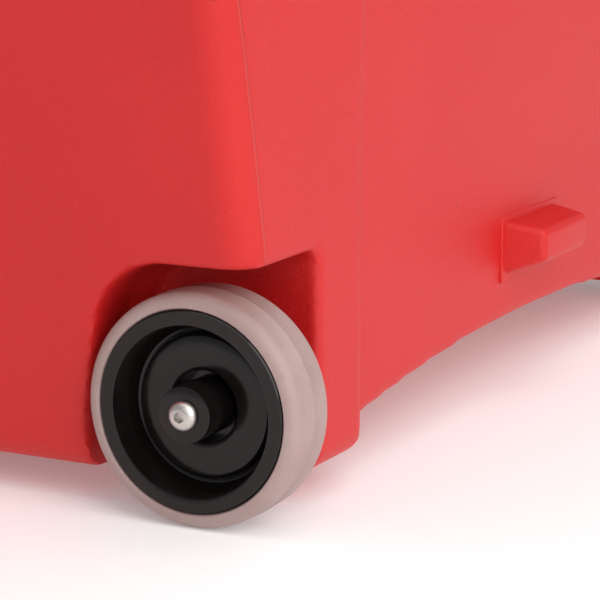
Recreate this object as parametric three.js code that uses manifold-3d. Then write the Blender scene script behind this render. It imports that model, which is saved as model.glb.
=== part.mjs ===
// A large moulded chest cooler on two wheels, in millimetres.
// X runs along the cooler towards the wheels, Y across it, Z up.
// The origin is on the ground, under the middle of the overall box.

import * as THREE from 'three';
import { mergeVertices } from 'three/addons/utils/BufferGeometryUtils.js';
import Module from 'manifold-3d';

const wasm = await Module();
wasm.setup();

// ---------------------------------------------------------------- driving sizes

// Clearances
const TOUCH_GAP = 0.3; // between two pieces that rest on each other
const SWING_GAP = 0.8; // round a piece that turns past another
const OVERLAP = 2; // how far a joined solid reaches into its neighbour
const BEYOND = 60; // how far a cutter runs past what it cuts

// Wheels
const WHEEL_RADIUS = 40;
const WHEEL_WIDTH = 25;
const TYRE_THICKNESS = 5.8;
const HUB_RING_RADIUS = WHEEL_RADIUS - TYRE_THICKNESS;
const HUB_RING_WIDTH = 5.2;
const HUB_DISH_DEPTH = 9.3;
const HUB_WEB_RADIUS = HUB_RING_RADIUS - HUB_RING_WIDTH - 4.4;
const HUB_WEB_THICKNESS = 5;
const HUB_CORE_RADIUS = 15;
const HUB_COUNTERBORE_RADIUS = 12;
const HUB_COUNTERBORE_DEPTH = 7;
const TREAD_SHOULDER = 4.5;
const TRACK = 486; // over the outer faces of the two hub rings

// Axle hardware
const BUSH_CAP_RADIUS = 9.6;
const BUSH_PROUD = 3.2; // how far the bush stands out of the hub ring
const BUSH_SLEEVE_RADIUS = 6;
const BOLT_RADIUS = 3;
const BOLT_HEAD_RADIUS = 5.1;
const BOLT_HEAD_HEIGHT = 3.3;
const BOLT_SOCKET_RADIUS = 2.1;
const BOLT_GRIP_IN_INSERT = 14;
const INSERT_RADIUS = 5;
const INSERT_LENGTH = 18;
const WASHER_RADIUS = 11;
const WASHER_THICKNESS = 1.6;
const AXLE_BOSS_RADIUS = 18;
const AXLE_BOSS_FACE = 5; // from the hub's inner face to the boss
const AXLE_BOSS_LENGTH = 14.4;

// Body
const BASE_LENGTH = 870; // between the two end walls, at the base
const BASE_Z = 14;
const RIM_Z = 400;
const SKIN = 5;
const CORNER_RADIUS = 12;
const RIM_CORNER_RADIUS = 28;
const BASE_EDGE = 4;
const SIDE_PROUD = 3.2; // side wall beyond the hub ring, at the top of the wheel pocket
const LOW_TAPER = THREE.MathUtils.degToRad(12);
const HIGH_TAPER = THREE.MathUtils.degToRad(3);
const KNEE_Z = 170; // where the steep lower side starts to turn upright
const KNEE_HEIGHT = 70;
const WHEEL_END_DRAFT = THREE.MathUtils.degToRad(1.5);
const HANDLE_END_DRAFT = THREE.MathUtils.degToRad(3);
const ARCH_EDGE_Z = 20;
const ARCH_CROWN_Z = 32;

// Wheel pockets and the columns beside them
const POCKET_RADIUS = WHEEL_RADIUS + 4.5;
const POCKET_TOP_Z = 2 * WHEEL_RADIUS + 9;
const POCKET_DEPTH = WHEEL_WIDTH + AXLE_BOSS_FACE + AXLE_BOSS_LENGTH; // in from the hub ring
const POCKET_SKIN = 8; // the skin is thicker round the wheel pockets
const POCKET_LIP_START = 145; // degrees round the axle where the pocket's upper edge leaves its arc
const COLUMN_WIDTH = 34.6;
const COLUMN_PROUD = 6.4; // the columns beyond the end wall, at the base
const COLUMN_FACE = WHEEL_RADIUS - 14.8; // from the axle to the outer face of the column
const WALL_FACE = COLUMN_FACE - COLUMN_PROUD; // from the axle to the end wall, at the base

// Tub
const WALL_THICKNESS = 45;
const FLOOR_Z = 66;
const TUB_DRAFT = THREE.MathUtils.degToRad(4);
const TUB_CORNER_RADIUS = 30;
const POCKET_COVER = 30;

// Step lug on the wheel end
const LUG_WIDTH = 56;
const LUG_FRONT_WIDTH = 46;
const LUG_Z = [48.5, 72.5];
const LUG_FRONT_Z = [56, 69];
const LUG_PROUD = 16.5;

// Hand recess on the wheel end
const RECESS_WIDTH = 130;
const RECESS_Z = [RIM_Z - 70, RIM_Z - 34];
const RECESS_DEPTH = 26;

// Lid
const LID_HEIGHT = 60;
const LID_OVERHANG = 6;
const LID_EDGE_RADIUS = 14;
const LID_PLUG_DEPTH = 10;
const LID_PLUG_CLEARANCE = 4;
const LID_PANEL_INSET = 75;
const LID_PANEL_DEPTH = 2;
const GASKET_INSET = 14; // from the rim's outer edge
const GASKET_WIDTH = 8;
const GASKET_HEIGHT = 5.4;

// Hinges, on the +Y side
const HINGE_X = [-0.3 * BASE_LENGTH, 0.3 * BASE_LENGTH];
const KNUCKLE_RADIUS = 9;
const KNUCKLE_LENGTH = 24;
const HINGE_PIN_RADIUS = 3.5;
const HARDWARE_PROUD = 16; // hinges and latches beyond the lid's overhang

// Latches, on the -Y side
const LATCH_X = [-0.276 * BASE_LENGTH, 0.276 * BASE_LENGTH];
const LATCH_PIVOT_Z = RIM_Z - 55;
const LATCH_RELEASE = THREE.MathUtils.degToRad(3.2); // how far the latches stand off at rest
const LATCH_WIDTH = 19;
const LATCH_BARREL_RADIUS = 6.5;
const LATCH_STRAP_THICKNESS = 6;
const LATCH_HEAD_WIDTH = 48;
const LATCH_HEAD_HEIGHT = 12;
const LATCH_TAB_WIDTH = 28;
const LATCH_TAB_HEIGHT = 12;
const LATCH_PIN_RADIUS = 2.5;
const KEEPER_PROUD = 4;
const KEEPER_HEIGHT = 22;
const KEEPER_ABOVE_RIM = 4;
const EAR_THICKNESS = 6;

// Tow handle, on the -X end
const TOW_PIVOT_Z = RIM_Z - 70;
const TOW_PIVOT_STANDOFF = 24;
const TOW_SPREAD = 300; // between the two arms
const TOW_ARM_LENGTH = 230;
const TOW_BEND_RADIUS = 32;
const TOW_PATH_STEPS = 40;
const TOW_TUBE_RADIUS = 9;
const TOW_GRIP_RADIUS = 13;
const TOW_GRIP_LENGTH = 180;
const TOW_PIN_RADIUS = 4;
const BRACKET_HEIGHT = 84;
const BRACKET_CHEEK = 5;
const BRACKET_PLATE = 6;
const BRACKET_EYE_RADIUS = 11;
const BRACKET_SCREW_SPACING = 60;

// Screws and feet
const SCREW_RADIUS = 2.5;
const SCREW_HEAD_RADIUS = 5;
const SCREW_HEAD_HEIGHT = 2.8;
const SCREW_BITE = 14;
const SCREW_BOSS_RADIUS = 8;
const FOOT_SIZE = 46;
const FOOT_INSET = 34; // from the handle end wall to the foot's middle
const FOOT_SCREW_SPACING = 24;
const FOOT_COUNTERBORE = 5;

// Drain, on the -X end
const DRAIN_Y = -150;
const DRAIN_Z = 80;
const DRAIN_BORE_RADIUS = 12;
const DRAIN_FLANGE_RADIUS = 20;
const DRAIN_FLANGE_THICKNESS = 3;
const DRAIN_RECESS_RADIUS = 32;
const DRAIN_RECESS_DEPTH = 18;
const DRAIN_LINER_WALL = 3.2;
const DRAIN_SEAL_RADIUS = 15;
const DRAIN_SEAL_THICKNESS = 2;
const DRAIN_KNOB_RADIUS = 17;
const DRAIN_KNOB_THICKNESS = 5;
const DRAIN_GRIP_HEIGHT = 6;
const DRAIN_SHANK_LENGTH = 22;

// Foam ports
const PORT_RADIUS = 12;
const PORT_LIP_RADIUS = 16;
const PORT_LIP = 3;

// Facets
const CORNER_SEGMENTS = 3;
const WHEEL_SEGMENTS = 24;
const ROD_SEGMENTS = 12;
const SMALL_SEGMENTS = 8;

// ---------------------------------------------------------------- worked-out places

const HALF_TRACK = TRACK / 2;
const POCKET_BACK_Y = HALF_TRACK - POCKET_DEPTH;
const COLUMN_INNER_Y = POCKET_BACK_Y - COLUMN_WIDTH;
const HANDLE_DRAFT_AT_PIVOT = (TOW_PIVOT_Z - BASE_Z) * Math.tan(HANDLE_END_DRAFT);
const HANDLE_REACH = HANDLE_DRAFT_AT_PIVOT + TOW_PIVOT_STANDOFF + TOW_GRIP_RADIUS;
const OVERALL_LENGTH = HANDLE_REACH + BASE_LENGTH - WALL_FACE + WHEEL_RADIUS;
const BASE_REAR_X = HANDLE_REACH - OVERALL_LENGTH / 2;
const AXLE_X = BASE_REAR_X + BASE_LENGTH - WALL_FACE;
const MERGE_Z = BASE_Z + (COLUMN_FACE - WALL_FACE) / Math.tan(WHEEL_END_DRAFT);
const SPLIT_Z = RIM_Z + 2 * TOUCH_GAP; // the lid's underside
const LID_TOP_Z = RIM_Z + LID_HEIGHT;
const RIM_HALF_WIDTH = sideAt(RIM_Z);
const HARDWARE_Y = RIM_HALF_WIDTH + LID_OVERHANG + HARDWARE_PROUD;
const HINGE_Y = HARDWARE_Y - KNUCKLE_RADIUS;
const LATCH_Y = -(HARDWARE_Y - LATCH_BARREL_RADIUS - 3);
const HINGE_Z = RIM_Z + TOUCH_GAP;
const TOW_X = rearAt(TOW_PIVOT_Z) - TOW_PIVOT_STANDOFF;
const KEEPER_TOP_Z = SPLIT_Z + KEEPER_ABOVE_RIM + KEEPER_HEIGHT;
const LATCH_TOP_Z = KEEPER_TOP_Z + TOUCH_GAP + LATCH_HEAD_HEIGHT + LATCH_TAB_HEIGHT;
const LATCH_OUTER_Y = -HARDWARE_Y + (LATCH_TOP_Z - LATCH_PIVOT_Z) * Math.tan(LATCH_RELEASE);

/** Half the outer width of the body at a height. */
function sideAt(z) {
  const low = Math.tan(LOW_TAPER);
  const high = Math.tan(HIGH_TAPER);
  const belowKnee = Math.min(z, KNEE_Z) - POCKET_TOP_Z;
  const inKnee = THREE.MathUtils.clamp(z - KNEE_Z, 0, KNEE_HEIGHT);
  const aboveKnee = Math.max(z - KNEE_Z - KNEE_HEIGHT, 0);
  const turned = inKnee * low + ((high - low) * inKnee ** 2) / (2 * KNEE_HEIGHT);
  return HALF_TRACK + SIDE_PROUD + belowKnee * low + turned + aboveKnee * high;
}

/** X of the handle end wall at a height. */
function rearAt(z) {
  return BASE_REAR_X - (z - BASE_Z) * Math.tan(HANDLE_END_DRAFT);
}

/** X of the wheel end wall at a height. */
function frontAt(z) {
  return AXLE_X + WALL_FACE + (z - BASE_Z) * Math.tan(WHEEL_END_DRAFT);
}

/** X of the tub's wall at the handle end, at a height. */
function tubRearAt(z) {
  return rearAt(RIM_Z) + WALL_THICKNESS + (RIM_Z - z) * Math.tan(TUB_DRAFT);
}

// ---------------------------------------------------------------- solids

/** A closed three.js geometry as a solid with its faces out. */
function solid(geometry) {
  const bare = geometry.clone();
  bare.deleteAttribute('normal');
  bare.deleteAttribute('uv');
  const merged = mergeVertices(bare, 1e-4);
  const corners = merged.getIndex().array;
  const kept = [];
  for (let i = 0; i < corners.length; i += 3) {
    const [a, b, c] = [corners[i], corners[i + 1], corners[i + 2]];
    if (a !== b && b !== c && c !== a) {
      kept.push(a, b, c);
    }
  }
  const places = new Float32Array(merged.getAttribute('position').array);
  if (signedVolume(places, kept) < 0) {
    kept.reverse();
  }
  return new wasm.Manifold(
    new wasm.Mesh({ numProp: 3, vertProperties: places, triVerts: new Uint32Array(kept) })
  );
}

/** Six times the volume inside a triangle list, negative when it faces inwards. */
function signedVolume(places, corners) {
  const [a, b, c] = [new THREE.Vector3(), new THREE.Vector3(), new THREE.Vector3()];
  let sum = 0;
  for (let i = 0; i < corners.length; i += 3) {
    a.fromArray(places, 3 * corners[i]);
    b.fromArray(places, 3 * corners[i + 1]);
    c.fromArray(places, 3 * corners[i + 2]);
    sum += a.dot(b.cross(c));
  }
  return sum;
}

/** A solid as a three.js geometry. */
function surface(body) {
  const mesh = body.getMesh();
  const geometry = new THREE.BufferGeometry();
  geometry.setAttribute('position', new THREE.BufferAttribute(mesh.vertProperties, mesh.numProp));
  geometry.setIndex(new THREE.BufferAttribute(mesh.triVerts, 1));
  geometry.computeVertexNormals();
  return geometry;
}

/** Several solids as one. */
function join(...bodies) {
  return bodies.reduce((sum, body) => sum.add(body));
}

/** A solid with others cut away. */
function cut(body, ...tools) {
  return tools.reduce((left, tool) => left.subtract(tool), body);
}

/** A box between two corners. */
function box(low, high) {
  const size = high.map((value, axis) => value - low[axis]);
  const middle = high.map((value, axis) => (value + low[axis]) / 2);
  return solid(new THREE.BoxGeometry(...size).translate(...middle));
}

/** A round bar along X, Y or Z, centred on the other two places given in order. */
function rod(axis, radius, from, to, centre, segments = ROD_SEGMENTS) {
  const bar = new THREE.CylinderGeometry(radius, radius, to - from, segments);
  const middle = (from + to) / 2;
  if (axis === 'x') {
    return solid(bar.rotateZ(Math.PI / 2).translate(middle, centre[0], centre[1]));
  }
  if (axis === 'y') {
    return solid(bar.translate(centre[0], middle, centre[1]));
  }
  return solid(bar.rotateX(Math.PI / 2).translate(centre[0], centre[1], middle));
}

/** An outline in (y, z) run along X, or in (x, z) run along Y. */
function prism(axis, outline, from, to) {
  const shape = outline instanceof THREE.Shape ? outline : polygon(outline);
  const settings = { depth: to - from, bevelEnabled: false, curveSegments: CORNER_SEGMENTS };
  const geometry = new THREE.ExtrudeGeometry(shape, settings);
  const turn = new THREE.Matrix4();
  if (axis === 'x') {
    const along = new THREE.Vector3(1, 0, 0);
    const across = new THREE.Vector3(0, 1, 0);
    turn.makeBasis(across, new THREE.Vector3(0, 0, 1), along).setPosition(from, 0, 0);
  } else {
    turn.makeRotationX(Math.PI / 2).setPosition(0, to, 0);
  }
  return solid(geometry.applyMatrix4(turn));
}

/** A closed shape through corner points. */
function polygon(points) {
  return new THREE.Shape(points.map(([u, v]) => new THREE.Vector2(u, v)));
}

/** A solid of revolution about Y, from a closed profile of [radius, height] points. */
function turned(profile, segments) {
  const points = [...profile, profile[0]].map(([radius, height]) => new THREE.Vector2(radius, height));
  return solid(new THREE.LatheGeometry(points, segments));
}

/** A block through rounded rectangles {z, x0, x1, half, radius}, from the lowest to the highest. */
function stacked(sections) {
  const outline = new THREE.Shape();
  const quarter = Math.PI / 2;
  const centres = [[1, 1], [-1, 1], [-1, -1], [1, -1]];
  centres.forEach(([x, y], turn) => outline.absarc(x, y, 1, turn * quarter, (turn + 1) * quarter));
  const steps = sections.length - 1;
  const settings = { depth: steps, steps, bevelEnabled: false, curveSegments: CORNER_SEGMENTS };
  const geometry = new THREE.ExtrudeGeometry(outline, settings);
  const place = geometry.getAttribute('position');
  for (let i = 0; i < place.count; i += 1) {
    const { z, x0, x1, half, radius } = sections[Math.round(place.getZ(i))];
    const [endwards, sidewards] = [Math.sign(place.getX(i)), Math.sign(place.getY(i))];
    const centreX = endwards > 0 ? x1 - radius : x0 + radius;
    const centreY = sidewards * (half - radius);
    const x = centreX + (place.getX(i) - endwards) * radius;
    const y = centreY + (place.getY(i) - sidewards) * radius;
    place.setXYZ(i, x, y, z);
  }
  return solid(geometry);
}

/** The same solid on the other side of the cooler. */
function mirrored(body) {
  return body.mirror([0, 1, 0]);
}

/** A solid and its mirror image across the cooler. */
function bothSides(body) {
  return body.add(mirrored(body));
}

// ---------------------------------------------------------------- body

/** Plan corner radius of the body at a height. */
function cornerAt(z) {
  const share = THREE.MathUtils.clamp((z - MERGE_Z) / (RIM_Z - MERGE_Z), 0, 1);
  return CORNER_RADIUS + share * (RIM_CORNER_RADIUS - CORNER_RADIUS);
}

/** One body section, with every wall moved out by grow. */
function bodySection(z, grow, x1, edge = 0) {
  return {
    z,
    x0: rearAt(z) - grow + edge,
    x1: x1 + grow - edge,
    half: sideAt(z) + grow - edge,
    radius: Math.max(cornerAt(z) + grow, 3),
  };
}

/** Heights at which the body has a section, between its base and a top. */
function bodyHeights(base, top) {
  const knee = [0, 1, 2].map((step) => KNEE_Z + (step * KNEE_HEIGHT) / 2);
  return [base + BASE_EDGE, ...knee, MERGE_Z, top].filter((z) => z <= top);
}

/** The body's outer form with its end wall, moved out by grow. */
function bodyBlock(grow) {
  const base = BASE_Z - grow;
  const top = RIM_Z + Math.min(grow, 0);
  const heights = bodyHeights(base, top).sort((a, b) => a - b);
  const sections = heights.map((z) => bodySection(z, grow, frontAt(z)));
  return stacked([bodySection(base, grow, frontAt(base), BASE_EDGE), ...sections]);
}

/** The two columns that stand out of the wheel end, moved out by grow. */
function columns(grow) {
  const base = BASE_Z - grow;
  const face = AXLE_X + COLUMN_FACE;
  const top = MERGE_Z - 1;
  const heights = bodyHeights(base, top).sort((a, b) => a - b);
  const sections = heights.map((z) => bodySection(z, grow, face));
  const block = stacked([bodySection(base, grow, face, BASE_EDGE), ...sections]);
  const inner = COLUMN_INNER_Y - grow;
  const start = AXLE_X - POCKET_RADIUS;
  const end = [face + BEYOND, RIM_HALF_WIDTH + BEYOND, MERGE_Z];
  return block.intersect(bothSides(box([start, inner, 0], end)));
}

/** One wheel pocket at +Y, moved out by grow. */
function pocket(grow) {
  const radius = POCKET_RADIUS + grow;
  const top = POCKET_TOP_Z + grow;
  const to = THREE.MathUtils.degToRad(POCKET_LIP_START);
  const from = 2 * Math.PI - to;
  const leave = new THREE.Vector2(radius * Math.cos(to), radius * Math.sin(to) + WHEEL_RADIUS);
  const rise = (top - leave.y) / Math.cos(to - Math.PI);
  const bend = leave.x + rise * Math.sin(to);
  const outline = new THREE.Shape();
  const far = AXLE_X + COLUMN_FACE + BEYOND;
  outline.moveTo(far, -BEYOND);
  outline.lineTo(AXLE_X + radius * Math.cos(from), -BEYOND);
  outline.absarc(AXLE_X, WHEEL_RADIUS, radius, from, to, true);
  outline.quadraticCurveTo(AXLE_X + bend, top, AXLE_X + bend + 10, top);
  outline.lineTo(far, top);
  return prism('y', outline, POCKET_BACK_Y - grow, RIM_HALF_WIDTH + BEYOND);
}

/** The shallow arch along the underside, moved out by grow. */
function arch(grow) {
  const rise = ARCH_CROWN_Z - ARCH_EDGE_Z;
  const crownRadius = (COLUMN_INNER_Y ** 2 + rise ** 2) / (2 * rise);
  const centre = ARCH_CROWN_Z - crownRadius;
  const [half, radius] = [COLUMN_INNER_Y + grow, crownRadius + grow];
  const lean = Math.asin(half / radius);
  const outline = new THREE.Shape();
  outline.moveTo(-half, -BEYOND);
  outline.lineTo(half, -BEYOND);
  outline.absarc(0, centre, radius, Math.PI / 2 - lean, Math.PI / 2 + lean);
  return prism('x', outline, BASE_REAR_X - BEYOND, AXLE_X + COLUMN_FACE + BEYOND);
}

/** The space inside the cooler, moved out by grow. */
function tub(grow) {
  const section = (z) => ({
    z,
    x0: tubRearAt(z) - grow,
    x1: frontAt(RIM_Z) - WALL_THICKNESS - (RIM_Z - z) * Math.tan(TUB_DRAFT) + grow,
    half: RIM_HALF_WIDTH - WALL_THICKNESS - (RIM_Z - z) * Math.tan(TUB_DRAFT) + grow,
    radius: TUB_CORNER_RADIUS + grow,
  });
  const block = stacked([section(FLOOR_Z - grow), section(RIM_Z + BEYOND)]);
  return cut(block, bothSides(pocket(POCKET_COVER - grow)));
}

/** The step lug in the middle of the wheel end. */
function stepLug() {
  const wall = frontAt(LUG_Z[1]);
  const root = wall - SKIN - WALL_FACE;
  const reach = (wall + LUG_PROUD - root) / LUG_PROUD;
  const base = (inner, outer) => outer + (inner - outer) * reach;
  const lug = new THREE.BoxGeometry(1, 1, 1);
  const place = lug.getAttribute('position');
  for (let i = 0; i < place.count; i += 1) {
    const front = place.getX(i) > 0;
    const half = front ? LUG_FRONT_WIDTH / 2 : base(LUG_WIDTH / 2, LUG_FRONT_WIDTH / 2);
    const z = LUG_FRONT_Z.map((edge, side) => (front ? edge : base(LUG_Z[side], edge)));
    const y = Math.sign(place.getY(i)) * half;
    place.setXYZ(i, front ? wall + LUG_PROUD : root, y, z[place.getZ(i) > 0 ? 1 : 0]);
  }
  return solid(lug);
}

/** The recess for a hand under the rim of the wheel end, moved out by grow. */
function handRecess(grow) {
  const half = RECESS_WIDTH / 2 + grow;
  const deep = frontAt(RECESS_Z[0]) - RECESS_DEPTH - grow;
  const slope = RECESS_DEPTH / 3;
  const mouth = deep + RECESS_DEPTH + 2 * grow + BEYOND / 3;
  const outline = [
    [deep, RECESS_Z[0] - grow + slope],
    [mouth, RECESS_Z[0] - grow],
    [mouth, RECESS_Z[1] + grow],
    [deep, RECESS_Z[1] + grow],
  ];
  return prism('y', outline, -half, half);
}

/** The round recess that the drain sits in, moved out by grow. */
function drainRecess(grow) {
  const deep = rearAt(DRAIN_Z) + DRAIN_RECESS_DEPTH + grow;
  const radius = DRAIN_RECESS_RADIUS + grow;
  return rod('x', radius, deep - BEYOND, deep, [DRAIN_Y, DRAIN_Z], WHEEL_SEGMENTS);
}

/** The drain's bore through the wall, moved out by grow. */
function drainBore(grow) {
  const [from, to] = [rearAt(DRAIN_Z) - BEYOND, tubRearAt(DRAIN_Z) + BEYOND];
  return rod('x', DRAIN_BORE_RADIUS + grow, from, to, [DRAIN_Y, DRAIN_Z]);
}

/** Y, Z places of the bracket screws on one side. */
function bracketScrewPlaces(side) {
  const y = (side * TOW_SPREAD) / 2;
  return [-1, 1].map((end) => [y, TOW_PIVOT_Z + (end * BRACKET_SCREW_SPACING) / 2]);
}

/** X, Y places of the screws of the foot on one side. */
function footScrewPlaces(side) {
  const y = side * footY();
  return [-1, 1].map((end) => [BASE_REAR_X + FOOT_INSET + (end * FOOT_SCREW_SPACING) / 2, y]);
}

/** Y of the feet, in the middle of the flat beside the arch. */
function footY() {
  return (COLUMN_INNER_Y + sideAt(BASE_Z)) / 2;
}

/** Bars along the holes of all screws and inserts, of a radius added to each hole's own. */
function fastenerBars(extra, deeper) {
  const bars = [];
  const radius = SCREW_RADIUS + extra;
  for (const side of [-1, 1]) {
    for (const [y, z] of bracketScrewPlaces(side)) {
      const end = rearAt(z) + SCREW_BITE + deeper;
      bars.push(rod('x', radius, rearAt(z) - BEYOND, end, [y, z], SMALL_SEGMENTS));
    }
    for (const place of footScrewPlaces(side)) {
      const end = BASE_Z + SCREW_BITE + deeper;
      bars.push(rod('z', radius, -BEYOND, end, place, SMALL_SEGMENTS));
    }
  }
  const mouth = HALF_TRACK - WHEEL_WIDTH - AXLE_BOSS_FACE;
  const end = mouth - INSERT_LENGTH - deeper;
  const insertBar = rod('y', INSERT_RADIUS + extra, end, mouth + BEYOND, [AXLE_X, WHEEL_RADIUS]);
  return join(bothSides(insertBar), ...bars);
}

/** The bosses in the two wheel pockets that the axle bolts screw into. */
function axleBosses() {
  const span = [POCKET_BACK_Y - OVERLAP, POCKET_BACK_Y + AXLE_BOSS_LENGTH];
  return bothSides(rod('y', AXLE_BOSS_RADIUS, ...span, [AXLE_X, WHEEL_RADIUS], WHEEL_SEGMENTS));
}

/** X spans of one hinge's two body knuckles. */
function bodyKnuckleSpans(x) {
  const inner = KNUCKLE_LENGTH / 2 + TOUCH_GAP;
  return [[x - inner - KNUCKLE_LENGTH, x - inner], [x + inner, x + inner + KNUCKLE_LENGTH]];
}

/** The body's hinge knuckles, with their webs. */
function bodyKnuckles() {
  const root = RIM_HALF_WIDTH - 1.5 * OVERLAP;
  const web = [
    [root, RIM_Z - 30],
    [root, RIM_Z],
    [HINGE_Y, RIM_Z],
    [HARDWARE_Y, HINGE_Z],
    [HARDWARE_Y - 1, RIM_Z - 4],
  ];
  return knuckles(HINGE_X.flatMap(bodyKnuckleSpans), web);
}

/** Hinge knuckles over spans of X, each on a web with an outline in (y, z). */
function knuckles(spans, web) {
  const parts = spans.map(([from, to]) => {
    const barrel = rod('x', KNUCKLE_RADIUS, from, to, [HINGE_Y, HINGE_Z]);
    return prism('x', web, from, to).add(barrel);
  });
  return join(...parts);
}

/** Bars on the hinge line, one at each hinge. */
function hingeBars(radius, half, segments) {
  return join(...HINGE_X.map((x) => rod('x', radius, x - half, x + half, [HINGE_Y, HINGE_Z], segments)));
}

/** Room in the body's rim for the lid's knuckles, moved out by grow. */
function lidKnuckleRoom(grow) {
  const half = KNUCKLE_LENGTH / 2 + Math.max(grow, TOUCH_GAP);
  return hingeBars(KNUCKLE_RADIUS + SWING_GAP + grow, half, ROD_SEGMENTS);
}

/** Bores for the hinge pins. */
function hingeBores() {
  return hingeBars(HINGE_PIN_RADIUS + TOUCH_GAP, 2 * KNUCKLE_LENGTH, SMALL_SEGMENTS);
}

/** The ears on the body that hold the latch pins, drilled for them. */
function latchEars() {
  const wall = -sideAt(LATCH_PIVOT_Z) + 1.5 * OVERLAP;
  const [y, z] = [LATCH_Y, LATCH_PIVOT_Z];
  const reach = LATCH_BARREL_RADIUS + 1;
  const outline = [
    [wall, z - 2.4 * reach],
    [wall, z + 1.9 * reach],
    [y, z + reach],
    [y - reach, z + reach / 3],
    [y - reach, z - reach / 2],
    [y, z - reach],
  ];
  const inner = LATCH_WIDTH / 2 + TOUCH_GAP;
  const ears = LATCH_X.flatMap((x) => [
    prism('x', outline, x - inner - EAR_THICKNESS, x - inner),
    prism('x', outline, x + inner, x + inner + EAR_THICKNESS),
  ]);
  const bore = LATCH_PIN_RADIUS + TOUCH_GAP;
  const bores = LATCH_X.map((x) => rod('x', bore, x - BEYOND, x + BEYOND, [y, z], SMALL_SEGMENTS));
  return cut(join(...ears), ...bores);
}

/** The space that foam fills inside the body's skin, drawn in by gap. */
function bodyFoamSpace(gap) {
  const inset = SKIN + gap;
  const form = join(bodyBlock(-inset), columns(-inset));
  return cut(
    form,
    tub(inset),
    bothSides(pocket(POCKET_SKIN + gap)),
    arch(inset),
    handRecess(inset),
    drainRecess(inset),
    drainBore(inset),
    fastenerBars(SCREW_BOSS_RADIUS - SCREW_RADIUS + gap, inset),
    lidKnuckleRoom(inset)
  );
}

/** The moulded body: a skin all round, hollow for the foam. */
function bodyShell() {
  const form = cut(
    join(bodyBlock(0), columns(0), stepLug()),
    bothSides(pocket(0)),
    arch(0),
    tub(0),
    handRecess(0),
    drainRecess(0),
    drainBore(0)
  );
  const dressed = join(form, axleBosses(), bodyKnuckles(), latchEars());
  return cut(
    dressed,
    bodyFoamSpace(0),
    fastenerBars(TOUCH_GAP, 1),
    lidKnuckleRoom(0),
    hingeBores(),
    rod('z', PORT_RADIUS, 0, ARCH_CROWN_Z + SKIN + 2 * OVERLAP, [0, 0])
  );
}

/** A foam-port plug: a disc in the hole with a lip outside, pushed up from a face at height z. */
function portPlug(z) {
  const lip = rod('z', PORT_LIP_RADIUS, z - TOUCH_GAP - PORT_LIP, z - TOUCH_GAP, [0, 0]);
  return lip.add(rod('z', PORT_RADIUS - TOUCH_GAP, z - TOUCH_GAP - 1, z + SKIN, [0, 0]));
}

// ---------------------------------------------------------------- lid

/** One lid section: the rim's plan at its top edge, moved out by offset. */
function lidSection(z, offset) {
  return { ...bodySection(RIM_Z, offset, frontAt(RIM_Z)), z };
}

/** The lid's outer form, drawn in by inset on every side. */
function lidBlock(inset) {
  const edge = LID_EDGE_RADIUS;
  const rounding = [0, 45, 90].map(THREE.MathUtils.degToRad);
  const shoulder = LID_TOP_Z - inset - edge;
  const upper = rounding.map((angle) =>
    lidSection(shoulder + edge * Math.sin(angle), LID_OVERHANG - inset - edge * (1 - Math.cos(angle)))
  );
  return stacked([lidSection(SPLIT_Z + inset, LID_OVERHANG - inset), ...upper]);
}

/** The step under the lid that drops into the tub, drawn in by inset. */
function lidPlug(inset, top) {
  const offset = -WALL_THICKNESS - LID_PLUG_CLEARANCE - inset;
  const low = SPLIT_Z - LID_PLUG_DEPTH + inset;
  const radius = TUB_CORNER_RADIUS - LID_PLUG_CLEARANCE - inset;
  return stacked([
    { ...lidSection(low, offset - 1), radius },
    { ...lidSection(top, offset), radius },
  ]);
}

/** The gasket's ring between two heights, widened by slack. */
function gasketRing(from, to, slack) {
  const outer = [lidSection(from, -GASKET_INSET + slack), lidSection(to, -GASKET_INSET + slack)];
  const inset = -GASKET_INSET - GASKET_WIDTH - slack;
  const inner = [lidSection(from - BEYOND, inset), lidSection(to + BEYOND, inset)];
  return cut(stacked(outer), stacked(inner));
}

/** The lid's knuckles, with their webs. */
function lidKnuckles() {
  const root = RIM_HALF_WIDTH - 1.5 * OVERLAP;
  const web = [
    [root, SPLIT_Z],
    [HINGE_Y, SPLIT_Z],
    [HARDWARE_Y, HINGE_Z + 2],
    [HARDWARE_Y - 2, SPLIT_Z + 8],
    [root, RIM_Z + 32],
  ];
  const half = KNUCKLE_LENGTH / 2 - TOUCH_GAP;
  return knuckles(HINGE_X.map((x) => [x - half, x + half]), web);
}

/** Room in the lid's back edge for the body's knuckles, deepened by skin. */
function bodyKnuckleRoom(skin) {
  const spare = SWING_GAP + skin;
  const reach = KNUCKLE_RADIUS + spare;
  const slots = HINGE_X.flatMap(bodyKnuckleSpans).map(([from, to]) => {
    const low = [from - spare, HINGE_Y - reach, 0];
    return box(low, [to + spare, HARDWARE_Y + BEYOND, HINGE_Z + reach]);
  });
  return join(...slots);
}

/** The prongs on the lid's front that the latch heads sit on. */
function latchKeepers() {
  const face = -(RIM_HALF_WIDTH + LID_OVERHANG);
  const [wall, out] = [face + OVERLAP, face - KEEPER_PROUD];
  const [low, high] = [SPLIT_Z + KEEPER_ABOVE_RIM, KEEPER_TOP_Z];
  const outline = [[wall, low - OVERLAP], [wall, high], [out, high], [out, low + KEEPER_PROUD]];
  const [inner, outer] = [LATCH_WIDTH / 2 + SWING_GAP, LATCH_HEAD_WIDTH / 2 + 1];
  const prongs = LATCH_X.flatMap((x) => [
    prism('x', outline, x - outer, x - inner),
    prism('x', outline, x + inner, x + outer),
  ]);
  return join(...prongs);
}

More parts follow.
